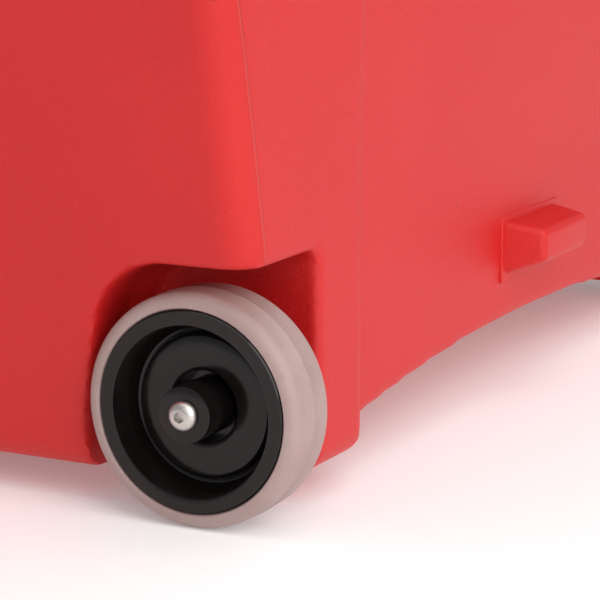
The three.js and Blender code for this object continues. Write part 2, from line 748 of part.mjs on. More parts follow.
/** The space that foam fills inside the lid, drawn in by gap. */
function lidFoamSpace(gap) {
  const inset = SKIN + gap;
  const depth = GASKET_HEIGHT + inset;
  const upper = cut(lidBlock(inset), gasketRing(RIM_Z - BEYOND, SPLIT_Z + depth, SKIN + gap));
  const form = join(upper, lidPlug(inset, SPLIT_Z + inset + OVERLAP));
  return cut(form, bodyKnuckleRoom(inset), lidPanel(inset));
}

/** The sunken panel on top of the lid, deepened by inset. */
function lidPanel(inset) {
  const low = LID_TOP_Z - LID_PANEL_DEPTH - inset;
  const offset = -LID_PANEL_INSET + inset;
  return stacked([lidSection(low, offset), lidSection(LID_TOP_Z + BEYOND, offset + BEYOND / 3)]);
}

/** The moulded lid. */
function lidShell() {
  const form = join(lidBlock(0), lidPlug(0, SPLIT_Z + OVERLAP), latchKeepers());
  const notched = cut(form, bodyKnuckleRoom(0), lidPanel(0));
  return cut(
    join(notched, lidKnuckles()),
    lidFoamSpace(0),
    gasketRing(RIM_Z - BEYOND, RIM_Z + GASKET_HEIGHT + 2 * TOUCH_GAP, TOUCH_GAP),
    hingeBores(),
    rod('z', PORT_RADIUS, RIM_Z - BEYOND, SPLIT_Z + SKIN + 2 * OVERLAP, [0, 0])
  );
}

// ---------------------------------------------------------------- hinge pins and latches

/** One hinge pin along X. */
function hingePin(x) {
  const half = 1.5 * KNUCKLE_LENGTH + TOUCH_GAP;
  return rod('x', HINGE_PIN_RADIUS, x - half, x + half, [HINGE_Y, HINGE_Z], SMALL_SEGMENTS);
}

/** One rubber latch, standing just off its keeper. */
function latch(x) {
  const half = LATCH_WIDTH / 2;
  const inner = -(RIM_HALF_WIDTH + LID_OVERHANG) - 1;
  const outer = LATCH_OUTER_Y;
  const low = KEEPER_TOP_Z + TOUCH_GAP;
  const top = low + LATCH_HEAD_HEIGHT;
  const [back, front] = [inner - TOUCH_GAP, inner - LATCH_STRAP_THICKNESS];
  const strap = [[back, LATCH_PIVOT_Z], [back, low + 1], [front, low + 1], [front, LATCH_PIVOT_Z]];
  const head = [
    [inner, low],
    [inner, top - 2],
    [inner - 2, top],
    [outer + 2, top],
    [outer, top - 2],
    [outer, low + 2],
    [outer + 2, low],
  ];
  const tab = [[outer + 6, top - 1], [outer + 5, LATCH_TOP_Z], [outer, LATCH_TOP_Z], [outer, top - 4]];
  const across = (outline, width) => prism('x', outline, x - width / 2, x + width / 2);
  const place = [LATCH_Y, LATCH_PIVOT_Z];
  const bore = rod('x', LATCH_PIN_RADIUS + TOUCH_GAP, x - BEYOND, x + BEYOND, place, SMALL_SEGMENTS);
  const closed = cut(
    join(
      rod('x', LATCH_BARREL_RADIUS, x - half, x + half, place),
      across(strap, LATCH_WIDTH),
      across(head, LATCH_HEAD_WIDTH),
      across(tab, LATCH_TAB_WIDTH)
    ),
    bore
  );
  const pivot = [0, LATCH_Y, LATCH_PIVOT_Z];
  const turn = [THREE.MathUtils.radToDeg(LATCH_RELEASE), 0, 0];
  return closed.translate(pivot.map((value) => -value)).rotate(turn).translate(pivot);
}

/** One latch pin. */
function latchPin(x) {
  const half = LATCH_WIDTH / 2 + TOUCH_GAP + EAR_THICKNESS;
  return rod('x', LATCH_PIN_RADIUS, x - half, x + half, [LATCH_Y, LATCH_PIVOT_Z], SMALL_SEGMENTS);
}

// ---------------------------------------------------------------- tow handle

/** The bent tube of the tow handle, hanging down. */
function towFrame() {
  const [half, low, bend] = [TOW_SPREAD / 2, TOW_PIVOT_Z - TOW_ARM_LENGTH, TOW_BEND_RADIUS];
  const end = TOW_PIVOT_Z + BRACKET_EYE_RADIUS;
  const at = (y, z) => new THREE.Vector3(TOW_X, y, z);
  const path = new THREE.CurvePath();
  path.add(new THREE.LineCurve3(at(-half, end), at(-half, low + bend)));
  path.add(new THREE.QuadraticBezierCurve3(at(-half, low + bend), at(-half, low), at(bend - half, low)));
  path.add(new THREE.LineCurve3(at(bend - half, low), at(half - bend, low)));
  path.add(new THREE.QuadraticBezierCurve3(at(half - bend, low), at(half, low), at(half, low + bend)));
  path.add(new THREE.LineCurve3(at(half, low + bend), at(half, end)));
  const section = new THREE.Shape().absarc(0, 0, TOW_TUBE_RADIUS, 0, 2 * Math.PI);
  const settings = { steps: TOW_PATH_STEPS, curveSegments: CORNER_SEGMENTS + 2, extrudePath: path };
  const tube = solid(new THREE.ExtrudeGeometry(section, settings));
  return cut(tube, towPivotBore(0, half + BEYOND));
}

/** The bore for a tow pin, about a middle Y. */
function towPivotBore(y, half) {
  const radius = TOW_PIN_RADIUS + TOUCH_GAP;
  return rod('y', radius, y - half, y + half, [TOW_X, TOW_PIVOT_Z], WHEEL_SEGMENTS);
}

/** The grip on the tow handle's bar. */
function towGrip() {
  const [half, low] = [TOW_GRIP_LENGTH / 2, TOW_PIVOT_Z - TOW_ARM_LENGTH];
  const radius = TOW_TUBE_RADIUS + TOUCH_GAP;
  const sleeve = rod('y', TOW_GRIP_RADIUS, -half, half, [TOW_X, low]);
  return cut(sleeve, rod('y', radius, -half - BEYOND, half + BEYOND, [TOW_X, low], WHEEL_SEGMENTS));
}

/** X of the outer face of the bracket plates. */
function bracketFace() {
  return rearAt(TOW_PIVOT_Z + BRACKET_HEIGHT / 2) - BRACKET_PLATE;
}

/** One clevis bracket of the tow handle. */
function towBracket(side) {
  const y = (side * TOW_SPREAD) / 2;
  const inner = TOW_TUBE_RADIUS + SWING_GAP;
  const outer = inner + BRACKET_CHEEK;
  const wall = bracketFace();
  const half = BRACKET_HEIGHT / 2;
  const low = [wall, y - outer, TOW_PIVOT_Z - half];
  const plate = box(low, [wall + BEYOND / 2, y + outer, TOW_PIVOT_Z + half]);
  const eye = BRACKET_EYE_RADIUS + 1;
  const upper = [
    [TOW_X - eye, eye / 2],
    [TOW_X - eye / 2, eye],
    [wall + OVERLAP, 2 * eye],
  ];
  const lower = [...upper].reverse().map(([x, z]) => [x, -z]);
  const outline = [...lower, ...upper].map(([x, z]) => [x, TOW_PIVOT_Z + z]);
  const cheeks = [prism('y', outline, y - outer, y - inner), prism('y', outline, y + inner, y + outer)];
  const bores = bracketScrewPlaces(side).map((place) =>
    rod('x', SCREW_RADIUS + TOUCH_GAP, wall - BEYOND, wall + BEYOND, place, SMALL_SEGMENTS)
  );
  return cut(join(plate, ...cheeks), bodyBlock(TOUCH_GAP), towPivotBore(y, BEYOND), ...bores);
}

/** One pivot pin of the tow handle, with a head on its outer end. */
function towPin(side) {
  const half = TOW_TUBE_RADIUS + SWING_GAP + BRACKET_CHEEK;
  const place = [TOW_X, TOW_PIVOT_Z];
  const head = half + TOUCH_GAP;
  const shank = rod('y', TOW_PIN_RADIUS, -half, head + 1, place, SMALL_SEGMENTS);
  const pin = shank.add(rod('y', TOW_PIN_RADIUS + 3, head, head + 3, place, SMALL_SEGMENTS));
  const placed = pin.translate([0, TOW_SPREAD / 2, 0]);
  return side > 0 ? placed : mirrored(placed);
}

/** A bracket screw, along X. */
function bracketScrew([y, z]) {
  const plate = bracketFace() - TOUCH_GAP;
  const head = rod('x', SCREW_HEAD_RADIUS, plate - SCREW_HEAD_HEIGHT, plate, [y, z], SMALL_SEGMENTS);
  return head.add(rod('x', SCREW_RADIUS, plate - 1, rearAt(z) + SCREW_BITE, [y, z], SMALL_SEGMENTS));
}

// ---------------------------------------------------------------- feet

/** One rubber foot, with holes for its screws. */
function foot(side) {
  const half = FOOT_SIZE / 2;
  const x = BASE_REAR_X + FOOT_INSET;
  const at = (z, spread) => ({ z, x0: x - spread, x1: x + spread, half: spread, radius: 8 });
  const pad = stacked([at(0, half - 3), at(BASE_Z - TOUCH_GAP, half)]).translate([0, side * footY(), 0]);
  const holes = footScrewPlaces(side).flatMap((place) => [
    rod('z', SCREW_RADIUS + TOUCH_GAP, -BEYOND, BEYOND, place, SMALL_SEGMENTS),
    rod('z', SCREW_HEAD_RADIUS + 2 * TOUCH_GAP, -BEYOND, FOOT_COUNTERBORE, place, SMALL_SEGMENTS),
  ]);
  return cut(pad, ...holes);
}

/** A foot screw, along Z. */
function footScrew(place) {
  const seat = FOOT_COUNTERBORE - TOUCH_GAP;
  const head = rod('z', SCREW_HEAD_RADIUS, seat - SCREW_HEAD_HEIGHT, seat, place, SMALL_SEGMENTS);
  return head.add(rod('z', SCREW_RADIUS, seat - 1, BASE_Z + SCREW_BITE, place, SMALL_SEGMENTS));
}

// ---------------------------------------------------------------- drain

/** X of the drain recess's floor. */
function drainFloor() {
  return rearAt(DRAIN_Z) + DRAIN_RECESS_DEPTH;
}

/** The liner through the wall, flanged in the recess. */
function drainLiner() {
  const floor = drainFloor() - TOUCH_GAP;
  const place = [DRAIN_Y, DRAIN_Z];
  const flange = rod('x', DRAIN_FLANGE_RADIUS, floor - DRAIN_FLANGE_THICKNESS, floor, place);
  const end = tubRearAt(DRAIN_Z + DRAIN_BORE_RADIUS);
  const tube = rod('x', DRAIN_BORE_RADIUS - TOUCH_GAP, floor - 1, end, place);
  return cut(flange.add(tube), linerBore());
}

/** The bore through the drain liner. */
function linerBore() {
  const radius = DRAIN_BORE_RADIUS - DRAIN_LINER_WALL;
  return rod('x', radius, drainFloor() - BEYOND, drainFloor() + 2 * BEYOND, [DRAIN_Y, DRAIN_Z]);
}

/** The ring seal under the plug's knob. */
function drainSeal() {
  const seat = drainFloor() - DRAIN_FLANGE_THICKNESS - 2 * TOUCH_GAP;
  const place = [DRAIN_Y, DRAIN_Z];
  const ring = rod('x', DRAIN_SEAL_RADIUS, seat - DRAIN_SEAL_THICKNESS, seat, place);
  return cut(ring, linerBore());
}

/** The drain plug: a knob with a finger grip, and a shank in the liner. */
function drainPlug() {
  const seat = drainFloor() - DRAIN_FLANGE_THICKNESS - DRAIN_SEAL_THICKNESS - 3 * TOUCH_GAP;
  const place = [DRAIN_Y, DRAIN_Z];
  const face = seat - DRAIN_KNOB_THICKNESS;
  const knob = rod('x', DRAIN_KNOB_RADIUS, face, seat, place);
  const radius = DRAIN_BORE_RADIUS - DRAIN_LINER_WALL - TOUCH_GAP;
  const shank = rod('x', radius, seat - 1, seat + DRAIN_SHANK_LENGTH, place);
  const [reach, half] = [DRAIN_KNOB_RADIUS - 3, DRAIN_GRIP_HEIGHT / 2];
  const low = [face - DRAIN_GRIP_HEIGHT, DRAIN_Y - reach, DRAIN_Z - half];
  return join(knob, shank, box(low, [face + 1, DRAIN_Y + reach, DRAIN_Z + half]));
}

// ---------------------------------------------------------------- wheels

// Wheel pieces are turned about Y: their outer face is at height 0, and the cooler's middle is below it.

/** Put a turned piece on the +Y or -Y wheel. */
function onWheel(body, side) {
  const placed = body.translate([AXLE_X, HALF_TRACK, WHEEL_RADIUS]);
  return side > 0 ? placed : mirrored(placed);
}

/** The tyre. */
function tyre() {
  const inner = HUB_RING_RADIUS + TOUCH_GAP;
  const outer = WHEEL_RADIUS;
  const [s, w] = [TREAD_SHOULDER, WHEEL_WIDTH];
  const bend = [0, 45, 90].map(THREE.MathUtils.degToRad);
  const near = bend.map((angle) => [outer - s + s * Math.sin(angle), -s + s * Math.cos(angle)]);
  const far = [...near].reverse().map(([radius, height]) => [radius, -w - height]);
  return turned([[inner, 0], ...near, ...far, [inner, -w]], WHEEL_SEGMENTS);
}

/** The hub: an outer ring, a dished web, and a core bored for the bush. */
function hub() {
  const lip = HUB_RING_RADIUS - HUB_RING_WIDTH;
  const [w, web] = [WHEEL_WIDTH, -HUB_DISH_DEPTH];
  const seat = web - HUB_COUNTERBORE_DEPTH;
  const bore = BUSH_SLEEVE_RADIUS + TOUCH_GAP;
  const profile = [
    [HUB_RING_RADIUS, 0],
    [lip, 0],
    [lip - 1.5, web / 2],
    [HUB_WEB_RADIUS, web],
    [HUB_COUNTERBORE_RADIUS + 1.5, web],
    [HUB_COUNTERBORE_RADIUS, web - 1],
    [HUB_COUNTERBORE_RADIUS, seat],
    [bore, seat],
    [bore, -w],
    [HUB_CORE_RADIUS, -w],
    [HUB_CORE_RADIUS, web - HUB_WEB_THICKNESS],
    [HUB_WEB_RADIUS + 2, web - HUB_WEB_THICKNESS],
    [lip, -w + 3],
    [lip, -w],
    [HUB_RING_RADIUS, -w],
  ];
  return turned(profile, WHEEL_SEGMENTS);
}

/** The fixed bush that the wheel turns on, with a wide cap outside. */
function axleBush() {
  const seat = -HUB_DISH_DEPTH - HUB_COUNTERBORE_DEPTH + TOUCH_GAP;
  const end = -WHEEL_WIDTH - AXLE_BOSS_FACE + TOUCH_GAP;
  const bore = BOLT_RADIUS + TOUCH_GAP;
  return turned(
    [
      [bore, BUSH_PROUD],
      [BUSH_CAP_RADIUS - 0.8, BUSH_PROUD],
      [BUSH_CAP_RADIUS, BUSH_PROUD - 0.8],
      [BUSH_CAP_RADIUS, seat],
      [BUSH_SLEEVE_RADIUS, seat],
      [BUSH_SLEEVE_RADIUS, end],
      [bore, end],
    ],
    ROD_SEGMENTS
  );
}

/** The thrust washer between the hub and the pocket's boss. */
function axleWasher() {
  const near = -WHEEL_WIDTH - 2 * TOUCH_GAP;
  const bore = BUSH_SLEEVE_RADIUS + TOUCH_GAP;
  const far = near - WASHER_THICKNESS;
  return turned([[bore, near], [WASHER_RADIUS, near], [WASHER_RADIUS, far], [bore, far]], ROD_SEGMENTS);
}

/** The button-head bolt, with a six-sided socket. */
function axleBolt() {
  const under = BUSH_PROUD + TOUCH_GAP;
  const top = under + BOLT_HEAD_HEIGHT;
  const end = -WHEEL_WIDTH - AXLE_BOSS_FACE - BOLT_GRIP_IN_INSERT;
  const body = turned(
    [
      [0, top],
      [BOLT_HEAD_RADIUS * 0.55, top],
      [BOLT_HEAD_RADIUS * 0.85, top - 1.2],
      [BOLT_HEAD_RADIUS, under + 0.8],
      [BOLT_HEAD_RADIUS, under],
      [BOLT_RADIUS, under],
      [BOLT_RADIUS, end],
      [0, end],
    ],
    ROD_SEGMENTS
  );
  return cut(body, rod('y', BOLT_SOCKET_RADIUS, top - 2, top + 5, [0, 0], 6));
}

/** The threaded insert in the pocket's boss. */
function axleInsert() {
  const near = -WHEEL_WIDTH - AXLE_BOSS_FACE - TOUCH_GAP;
  const far = near - INSERT_LENGTH + TOUCH_GAP;
  const [bore, outer] = [BOLT_RADIUS + TOUCH_GAP, INSERT_RADIUS];
  return turned([[bore, near], [outer, near], [outer, far], [bore, far]], ROD_SEGMENTS);
}

// ---------------------------------------------------------------- assembly

/** A named finish of one piece. */
function finish(color, roughness, metalness = 0) {
  return new THREE.MeshStandardMaterial({ color, roughness, metalness });
}

const RED_SHELL = finish(0xc83532, 0.5);
const FOAM = finish(0xe8d9a8, 0.9);
const BLACK_PLASTIC = finish(0x241f1f, 0.3);
const GREY_TYRE = finish(0x9b8a88, 0.6);
const BLACK_RUBBER = finish(0x2a2a2b, 0.7);
const STEEL = finish(0xd2ccc6, 0.3, 1);
const BRASS = finish(0xb8954a, 0.35, 1);
const ALUMINIUM = finish(0xb9bcc0, 0.35, 1);
const GASKET_GREY = finish(0x5a5c5e, 0.7);

const group = new THREE.Group();
group.name = 'cooler_on_wheels';

/** Add one named piece to the cooler. */
function place(name, body, material) {
  const mesh = new THREE.Mesh(surface(body), material);
  mesh.name = name;
  group.add(mesh);
}

place('body_shell', bodyShell(), RED_SHELL);
place('body_foam', bodyFoamSpace(TOUCH_GAP), FOAM);
place('body_port_plug', portPlug(ARCH_CROWN_Z - TOUCH_GAP), BLACK_PLASTIC);
place('lid_shell', lidShell(), RED_SHELL);
place('lid_foam', lidFoamSpace(TOUCH_GAP), FOAM);
place('lid_port_plug', portPlug(SPLIT_Z - LID_PLUG_DEPTH), BLACK_PLASTIC);
place('lid_gasket', gasketRing(RIM_Z + TOUCH_GAP, RIM_Z + TOUCH_GAP + GASKET_HEIGHT, 0), GASKET_GREY);

HINGE_X.forEach((x, index) => {
  place(`hinge_pin_${index + 1}`, hingePin(x), STEEL);
});

LATCH_X.forEach((x, index) => {
  place(`latch_${index + 1}`, latch(x), BLACK_RUBBER);
  place(`latch_pin_${index + 1}`, latchPin(x), STEEL);
});

place('tow_handle_frame', towFrame(), ALUMINIUM);
place('tow_handle_grip', towGrip(), BLACK_RUBBER);
place('drain_liner', drainLiner(), BLACK_PLASTIC);
place('drain_seal', drainSeal(), BLACK_RUBBER);
place('drain_plug', drainPlug(), BLACK_PLASTIC);

for (const [name, side] of [['near', -1], ['far', 1]]) {
  place(`tow_bracket_${name}`, towBracket(side), BLACK_PLASTIC);
  place(`tow_pin_${name}`, towPin(side), STEEL);
  bracketScrewPlaces(side).forEach((spot, index) => {
    place(`tow_bracket_screw_${name}_${index + 1}`, bracketScrew(spot), STEEL);
  });
  place(`foot_${name}`, foot(side), BLACK_RUBBER);
  footScrewPlaces(side).forEach((spot, index) => {
    place(`foot_screw_${name}_${index + 1}`, footScrew(spot), STEEL);
  });
  place(`tyre_${name}`, onWheel(tyre(), side), GREY_TYRE);
  place(`hub_${name}`, onWheel(hub(), side), BLACK_PLASTIC);
  place(`axle_bush_${name}`, onWheel(axleBush(), side), BLACK_PLASTIC);
  place(`axle_washer_${name}`, onWheel(axleWasher(), side), STEEL);
  place(`axle_bolt_${name}`, onWheel(axleBolt(), side), STEEL);
  place(`axle_insert_${name}`, onWheel(axleInsert(), side), BRASS);
}

export default group;
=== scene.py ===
"""A moulded chest cooler on two wheels: its visible pieces, their finishes, the floor, the lights and the camera."""

from __future__ import annotations

import logging
import math
from contextlib import contextmanager
from dataclasses import dataclass
from enum import Enum
from typing import Callable, Iterator, Sequence

import bmesh
import bpy
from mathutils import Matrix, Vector


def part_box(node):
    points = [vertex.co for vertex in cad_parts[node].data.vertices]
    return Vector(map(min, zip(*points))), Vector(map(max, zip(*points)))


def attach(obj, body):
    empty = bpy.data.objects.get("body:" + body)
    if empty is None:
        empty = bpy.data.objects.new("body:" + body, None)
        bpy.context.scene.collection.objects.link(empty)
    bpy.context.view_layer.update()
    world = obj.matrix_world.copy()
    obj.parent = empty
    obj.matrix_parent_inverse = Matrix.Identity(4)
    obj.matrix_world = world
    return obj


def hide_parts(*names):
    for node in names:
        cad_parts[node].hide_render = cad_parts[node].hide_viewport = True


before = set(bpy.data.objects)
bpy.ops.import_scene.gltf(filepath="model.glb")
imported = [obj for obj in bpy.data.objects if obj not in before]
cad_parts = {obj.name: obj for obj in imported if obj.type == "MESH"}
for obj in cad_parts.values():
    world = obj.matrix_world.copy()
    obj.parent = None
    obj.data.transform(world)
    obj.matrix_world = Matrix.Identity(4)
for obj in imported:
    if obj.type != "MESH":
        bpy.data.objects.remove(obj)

log = logging.getLogger("cooler")

Point = tuple[float, float, float]
Profile = Sequence[tuple[float, float]]
MM = 0.001


class Direction(Enum):
    """Which way a turned piece's axis points, as the rotation that takes +Z there."""

    PLUS_X = (0.0, math.pi / 2, 0.0)
    MINUS_X = (0.0, -math.pi / 2, 0.0)
    PLUS_Y = (-math.pi / 2, 0.0, 0.0)
    MINUS_Y = (math.pi / 2, 0.0, 0.0)
    PLUS_Z = (0.0, 0.0, 0.0)
    MINUS_Z = (math.pi, 0.0, 0.0)


class Side(Enum):
    """The two long sides of the cooler: near is -Y, far is +Y."""

    NEAR = -1
    FAR = 1

    @property
    def word(self) -> str:
        """The side's name as used in piece names."""
        return self.name.lower()

    @property
    def outward(self) -> Direction:
        """The direction out of the cooler on this side."""
        return Direction.MINUS_Y if self is Side.NEAR else Direction.PLUS_Y


# ------------------------------------------------------------------ modelling


def alone(piece: bpy.types.Object) -> None:
    """Select one piece and nothing else, and make it the active one."""
    bpy.ops.object.select_all(action="DESELECT")
    bpy.context.view_layer.objects.active = piece
    piece.select_set(True)


@contextmanager
def editing(piece: bpy.types.Object) -> Iterator[None]:
    """Edit mode on one piece alone.

    Args:
        piece: The piece to edit.
    """
    alone(piece)
    bpy.ops.object.mode_set(mode="EDIT")
    bpy.ops.mesh.select_mode(type="VERT")
    yield
    bpy.ops.object.mode_set(mode="OBJECT")


def pick(piece: bpy.types.Object, test: Callable[[Vector], bool]) -> None:
    """Select, in edit mode, just the vertices whose place passes a test.

    Args:
        piece: The piece in edit mode.
        test: Says whether a place is wanted.
    """
    choose(piece, lambda vertex: test(vertex.co))


def choose(piece: bpy.types.Object, test: Callable[[bmesh.types.BMVert], bool]) -> None:
    """Select, in edit mode, just the vertices that pass a test."""
    form = bmesh.from_edit_mesh(piece.data)
    for vertex in form.verts:
        vertex.select = test(vertex)
    form.select_flush(True)
    form.select_flush(False)
    bmesh.update_edit_mesh(piece.data)


def settle(piece: bpy.types.Object) -> bpy.types.Object:
    """Put a piece's place, turn and scale into its mesh.

    Args:
        piece: The piece to settle.

    Returns:
        The same piece, at the origin.
    """
    alone(piece)
    bpy.ops.object.transform_apply(location=True, rotation=True, scale=True)
    return piece


def finish_with(piece: bpy.types.Object, kind: str, **settings: object) -> bpy.types.Object:
    """Add one modifier to a piece and apply it.

    Args:
        piece: The piece.
        kind: The modifier's type.
        **settings: The modifier's settings.

    Returns:
        The same piece.
    """
    alone(piece)
    modifier = piece.modifiers.new(kind.title(), kind)
    for name, value in settings.items():
        setattr(modifier, name, value)
    bpy.ops.object.modifier_apply(modifier=modifier.name)
    return piece


def combine(piece: bpy.types.Object, tool: bpy.types.Object, how: str) -> bpy.types.Object:
    """Join a tool to a piece or cut it away, and use the tool up.

    Args:
        piece: The piece that is changed.
        tool: The solid that is joined or cut away.
        how: UNION, DIFFERENCE or INTERSECT.

    Returns:
        The piece.
    """
    finish_with(piece, "BOOLEAN", object=tool, operation=how, solver="MANIFOLD")
    bpy.data.objects.remove(tool)
    return piece


def cut(piece: bpy.types.Object, *tools: bpy.types.Object) -> bpy.types.Object:
    """Cut tools away from a piece, one after another."""
    for tool in tools:
        combine(piece, tool, "DIFFERENCE")
    return piece


def weld(piece: bpy.types.Object, *tools: bpy.types.Object) -> bpy.types.Object:
    """Join tools to a piece, one after another."""
    for tool in tools:
        combine(piece, tool, "UNION")
    return piece


def soften(piece: bpy.types.Object, width: float, angle: float = 30.0, steps: int = 3) -> bpy.types.Object:
    """Round every edge sharper than an angle and smooth the shading.

    Args:
        piece: The piece.
        width: How far the rounding reaches from each edge.
        angle: The least angle that counts as an edge, in degrees.
        steps: The faces across each rounding.

    Returns:
        The piece.
    """
    limit = math.radians(angle)
    finish_with(piece, "BEVEL", width=width, segments=steps, limit_method="ANGLE", angle_limit=limit,
                harden_normals=False, miter_outer="MITER_ARC")
    return smooth(piece, angle)


def smooth(piece: bpy.types.Object, angle: float = 35.0) -> bpy.types.Object:
    """Smooth a piece's shading across edges flatter than an angle in degrees."""
    alone(piece)
    bpy.ops.object.shade_smooth_by_angle(angle=math.radians(angle))
    return piece


def block(name: str, low: Point, high: Point) -> bpy.types.Object:
    """A box between two corners, as a start for a piece or a cutter.

    Args:
        name: The piece's name.
        low: Its lowest corner.
        high: Its highest corner.

    Returns:
        The piece.
    """
    bpy.ops.object.select_all(action="DESELECT")
    middle = [(a + b) / 2 for a, b in zip(low, high)]
    bpy.ops.mesh.primitive_cube_add(size=1, location=middle)
    piece = bpy.context.object
    piece.name = name
    piece.scale = [b - a for a, b in zip(low, high)]
    return settle(piece)


def chamfer(piece: bpy.types.Object, width: float, steps: int, test: Callable[[Vector], bool]) -> bpy.types.Object:
    """Round the edges whose two ends both pass a test.

    Args:
        piece: The piece.
        width: The rounding's reach.
        steps: The faces across it.
        test: Says whether a place is on a wanted edge.

    Returns:
        The piece.
    """
    with editing(piece):
        pick(piece, test)
        bpy.ops.mesh.bevel(offset=width, segments=steps, profile=0.5, affect="EDGES", clamp_overlap=True)
    return piece


def turn(name: str, way: Direction, centre: Point, profile: Profile, closed: bool = False,
         segments: int = 96) -> bpy.types.Object:
    """A turned solid, drawn out of a circle one ring at a time.

    Args:
        name: The piece's name.
        way: The direction that the profile's second number counts along.
        centre: The place on the axis where that number is 0.
        profile: Rings of radius and place along the axis.
        closed: Whether the last ring meets the first, as on a tyre, or both ends are filled.
        segments: The faces round it.

    Returns:
        The piece.
    """
    bpy.ops.object.select_all(action="DESELECT")
    radius, along = profile[0]
    bpy.ops.mesh.primitive_circle_add(vertices=segments, radius=radius, location=(0, 0, 0))
    piece = bpy.context.object
    piece.name = name
    with editing(piece):
        bpy.ops.mesh.select_all(action="SELECT")
        bpy.ops.transform.translate(value=(0, 0, along))
        if not closed:
            bpy.ops.mesh.edge_face_add()
            bpy.ops.mesh.select_all(action="SELECT")
        for next_radius, next_along in profile[1:]:
            bpy.ops.mesh.extrude_region_move(TRANSFORM_OT_translate={"value": (0, 0, next_along - along)})
            scale = next_radius / radius
            bpy.ops.transform.resize(value=(scale, scale, 1), center_override=(0, 0, next_along))
            radius, along = next_radius, next_along
        if closed:
            bpy.ops.mesh.select_all(action="DESELECT")
            bpy.ops.mesh.select_non_manifold()
            bpy.ops.mesh.bridge_edge_loops()
        bpy.ops.mesh.select_all(action="SELECT")
        bpy.ops.mesh.normals_make_consistent(inside=False)
    piece.rotation_euler = way.value
    piece.location = centre
    return settle(piece)


def rod(name: str, way: Direction, centre: Point, radius: float, length: float,
        segments: int = 64) -> bpy.types.Object:
    """A plain round bar from a centre out along a direction."""
    return turn(name, way, centre, [(radius, 0.0), (radius, length)], segments=segments)


def arc(centre: tuple[float, float], radius: float, start: float, end: float,
        steps: int) -> list[tuple[float, float]]:
    """Points round part of a circle, for a profile.

    Args:
        centre: Its centre.
        radius: Its radius.
        start: The first angle in degrees.
        end: The last angle in degrees.
        steps: The spaces between points.

    Returns:
        The points, ends included.
    """
    angles = [math.radians(start + (end - start) * step / steps) for step in range(steps + 1)]
    return [(centre[0] + radius * math.cos(a), centre[1] + radius * math.sin(a)) for a in angles]


@dataclass(frozen=True)
class Section:
    """A level slice through a tapering block with rounded corners."""

    z: float
    x0: float
    x1: float
    half: float
    radius: float


def loft(name: str, sections: Sequence[Section], steps: int = 8) -> bpy.types.Object:
    """A closed block drawn up through level sections.

    Args:
        name: The piece's name.
        sections: The slices, in the order in which the block is drawn.
        steps: The faces round each corner.

    Returns:
        The piece.
    """
    bpy.ops.object.select_all(action="DESELECT")
    now = sections[0]
    bpy.ops.mesh.primitive_plane_add(size=1, location=((now.x0 + now.x1) / 2, 0, now.z))
    piece = bpy.context.object
    piece.name = name
    piece.scale = (now.x1 - now.x0, 2 * now.half, 1)
    settle(piece)
    with editing(piece):
        bpy.ops.mesh.select_all(action="SELECT")
        bpy.ops.mesh.bevel(offset=now.radius, segments=steps, profile=0.5, affect="VERTICES")
        bpy.ops.mesh.select_all(action="SELECT")
        for then in sections[1:]:
            bpy.ops.mesh.extrude_region_move(TRANSFORM_OT_translate={"value": (0, 0, then.z - now.z)})
            fit_ring(piece, now, then)
            now = then
        bpy.ops.mesh.select_all(action="SELECT")
        bpy.ops.mesh.normals_make_consistent(inside=False)
    return piece


def fit_ring(piece: bpy.types.Object, now: Section, then: Section) -> None:
    """Slide and resize the four corners of the ring just drawn, so that it fits the next section.

    Args:
        piece: The block in edit mode, with that ring selected.
        now: The section that the ring was drawn from.
        then: The section that it has to fit.
    """
    form = bmesh.from_edit_mesh(piece.data)
    form.verts.index_update()
    ring = {vertex.index for vertex in form.verts if vertex.select}
    middle = (now.x0 + now.x1) / 2
    corners = {}
    for vertex in form.verts:
        if vertex.index in ring:
            corners.setdefault((vertex.co.x > middle, vertex.co.y > 0), set()).add(vertex.index)
    scale = then.radius / now.radius
    for (front, far), members in corners.items():
        end, shift = (then.x1, then.x1 - now.x1) if front else (then.x0, then.x0 - now.x0)
        sidewards = 1 if far else -1
        choose(piece, lambda vertex: vertex.index in members)
        bpy.ops.transform.translate(value=(shift, sidewards * (then.half - now.half), 0))
        place = (end, sidewards * then.half, then.z)
        bpy.ops.transform.resize(value=(scale, scale, 1), center_override=place)
    choose(piece, lambda vertex: vertex.index in ring)


# ------------------------------------------------------------------ finishes

Number = "float | Wire"
Colour = tuple[float, float, float]


def srgb(red: int, green: int, blue: int) -> Colour:
    """A screen colour of 0 to 255 as linear light."""
    def light(value: int) -> float:
        share = value / 255
        return share / 12.92 if share <= 0.04045 else ((share + 0.055) / 1.055) ** 2.4
    return light(red), light(green), light(blue)


class Wire:
    """A number socket that can be used in Python arithmetic; each operator adds its Math node."""

    def __init__(self, bench: "Paint", socket: bpy.types.NodeSocket) -> None:
        """Wrap one output socket of a material's nodes."""
        self.bench = bench
        self.socket = socket

    def __add__(self, other: Number) -> "Wire":
        """This plus another."""
        return self.bench.maths("ADD", self, other)

    def __radd__(self, other: Number) -> "Wire":
        """Another plus this."""
        return self.bench.maths("ADD", other, self)

    def __sub__(self, other: Number) -> "Wire":
        """This minus another."""
        return self.bench.maths("SUBTRACT", self, other)

    def __rsub__(self, other: Number) -> "Wire":
        """Another minus this."""
        return self.bench.maths("SUBTRACT", other, self)

    def __mul__(self, other: Number) -> "Wire":
        """This times another."""
        return self.bench.maths("MULTIPLY", self, other)

    def __rmul__(self, other: Number) -> "Wire":
        """Another times this."""
        return self.bench.maths("MULTIPLY", other, self)

    def __abs__(self) -> "Wire":
        """This without its sign."""
        return self.bench.maths("ABSOLUTE", self)


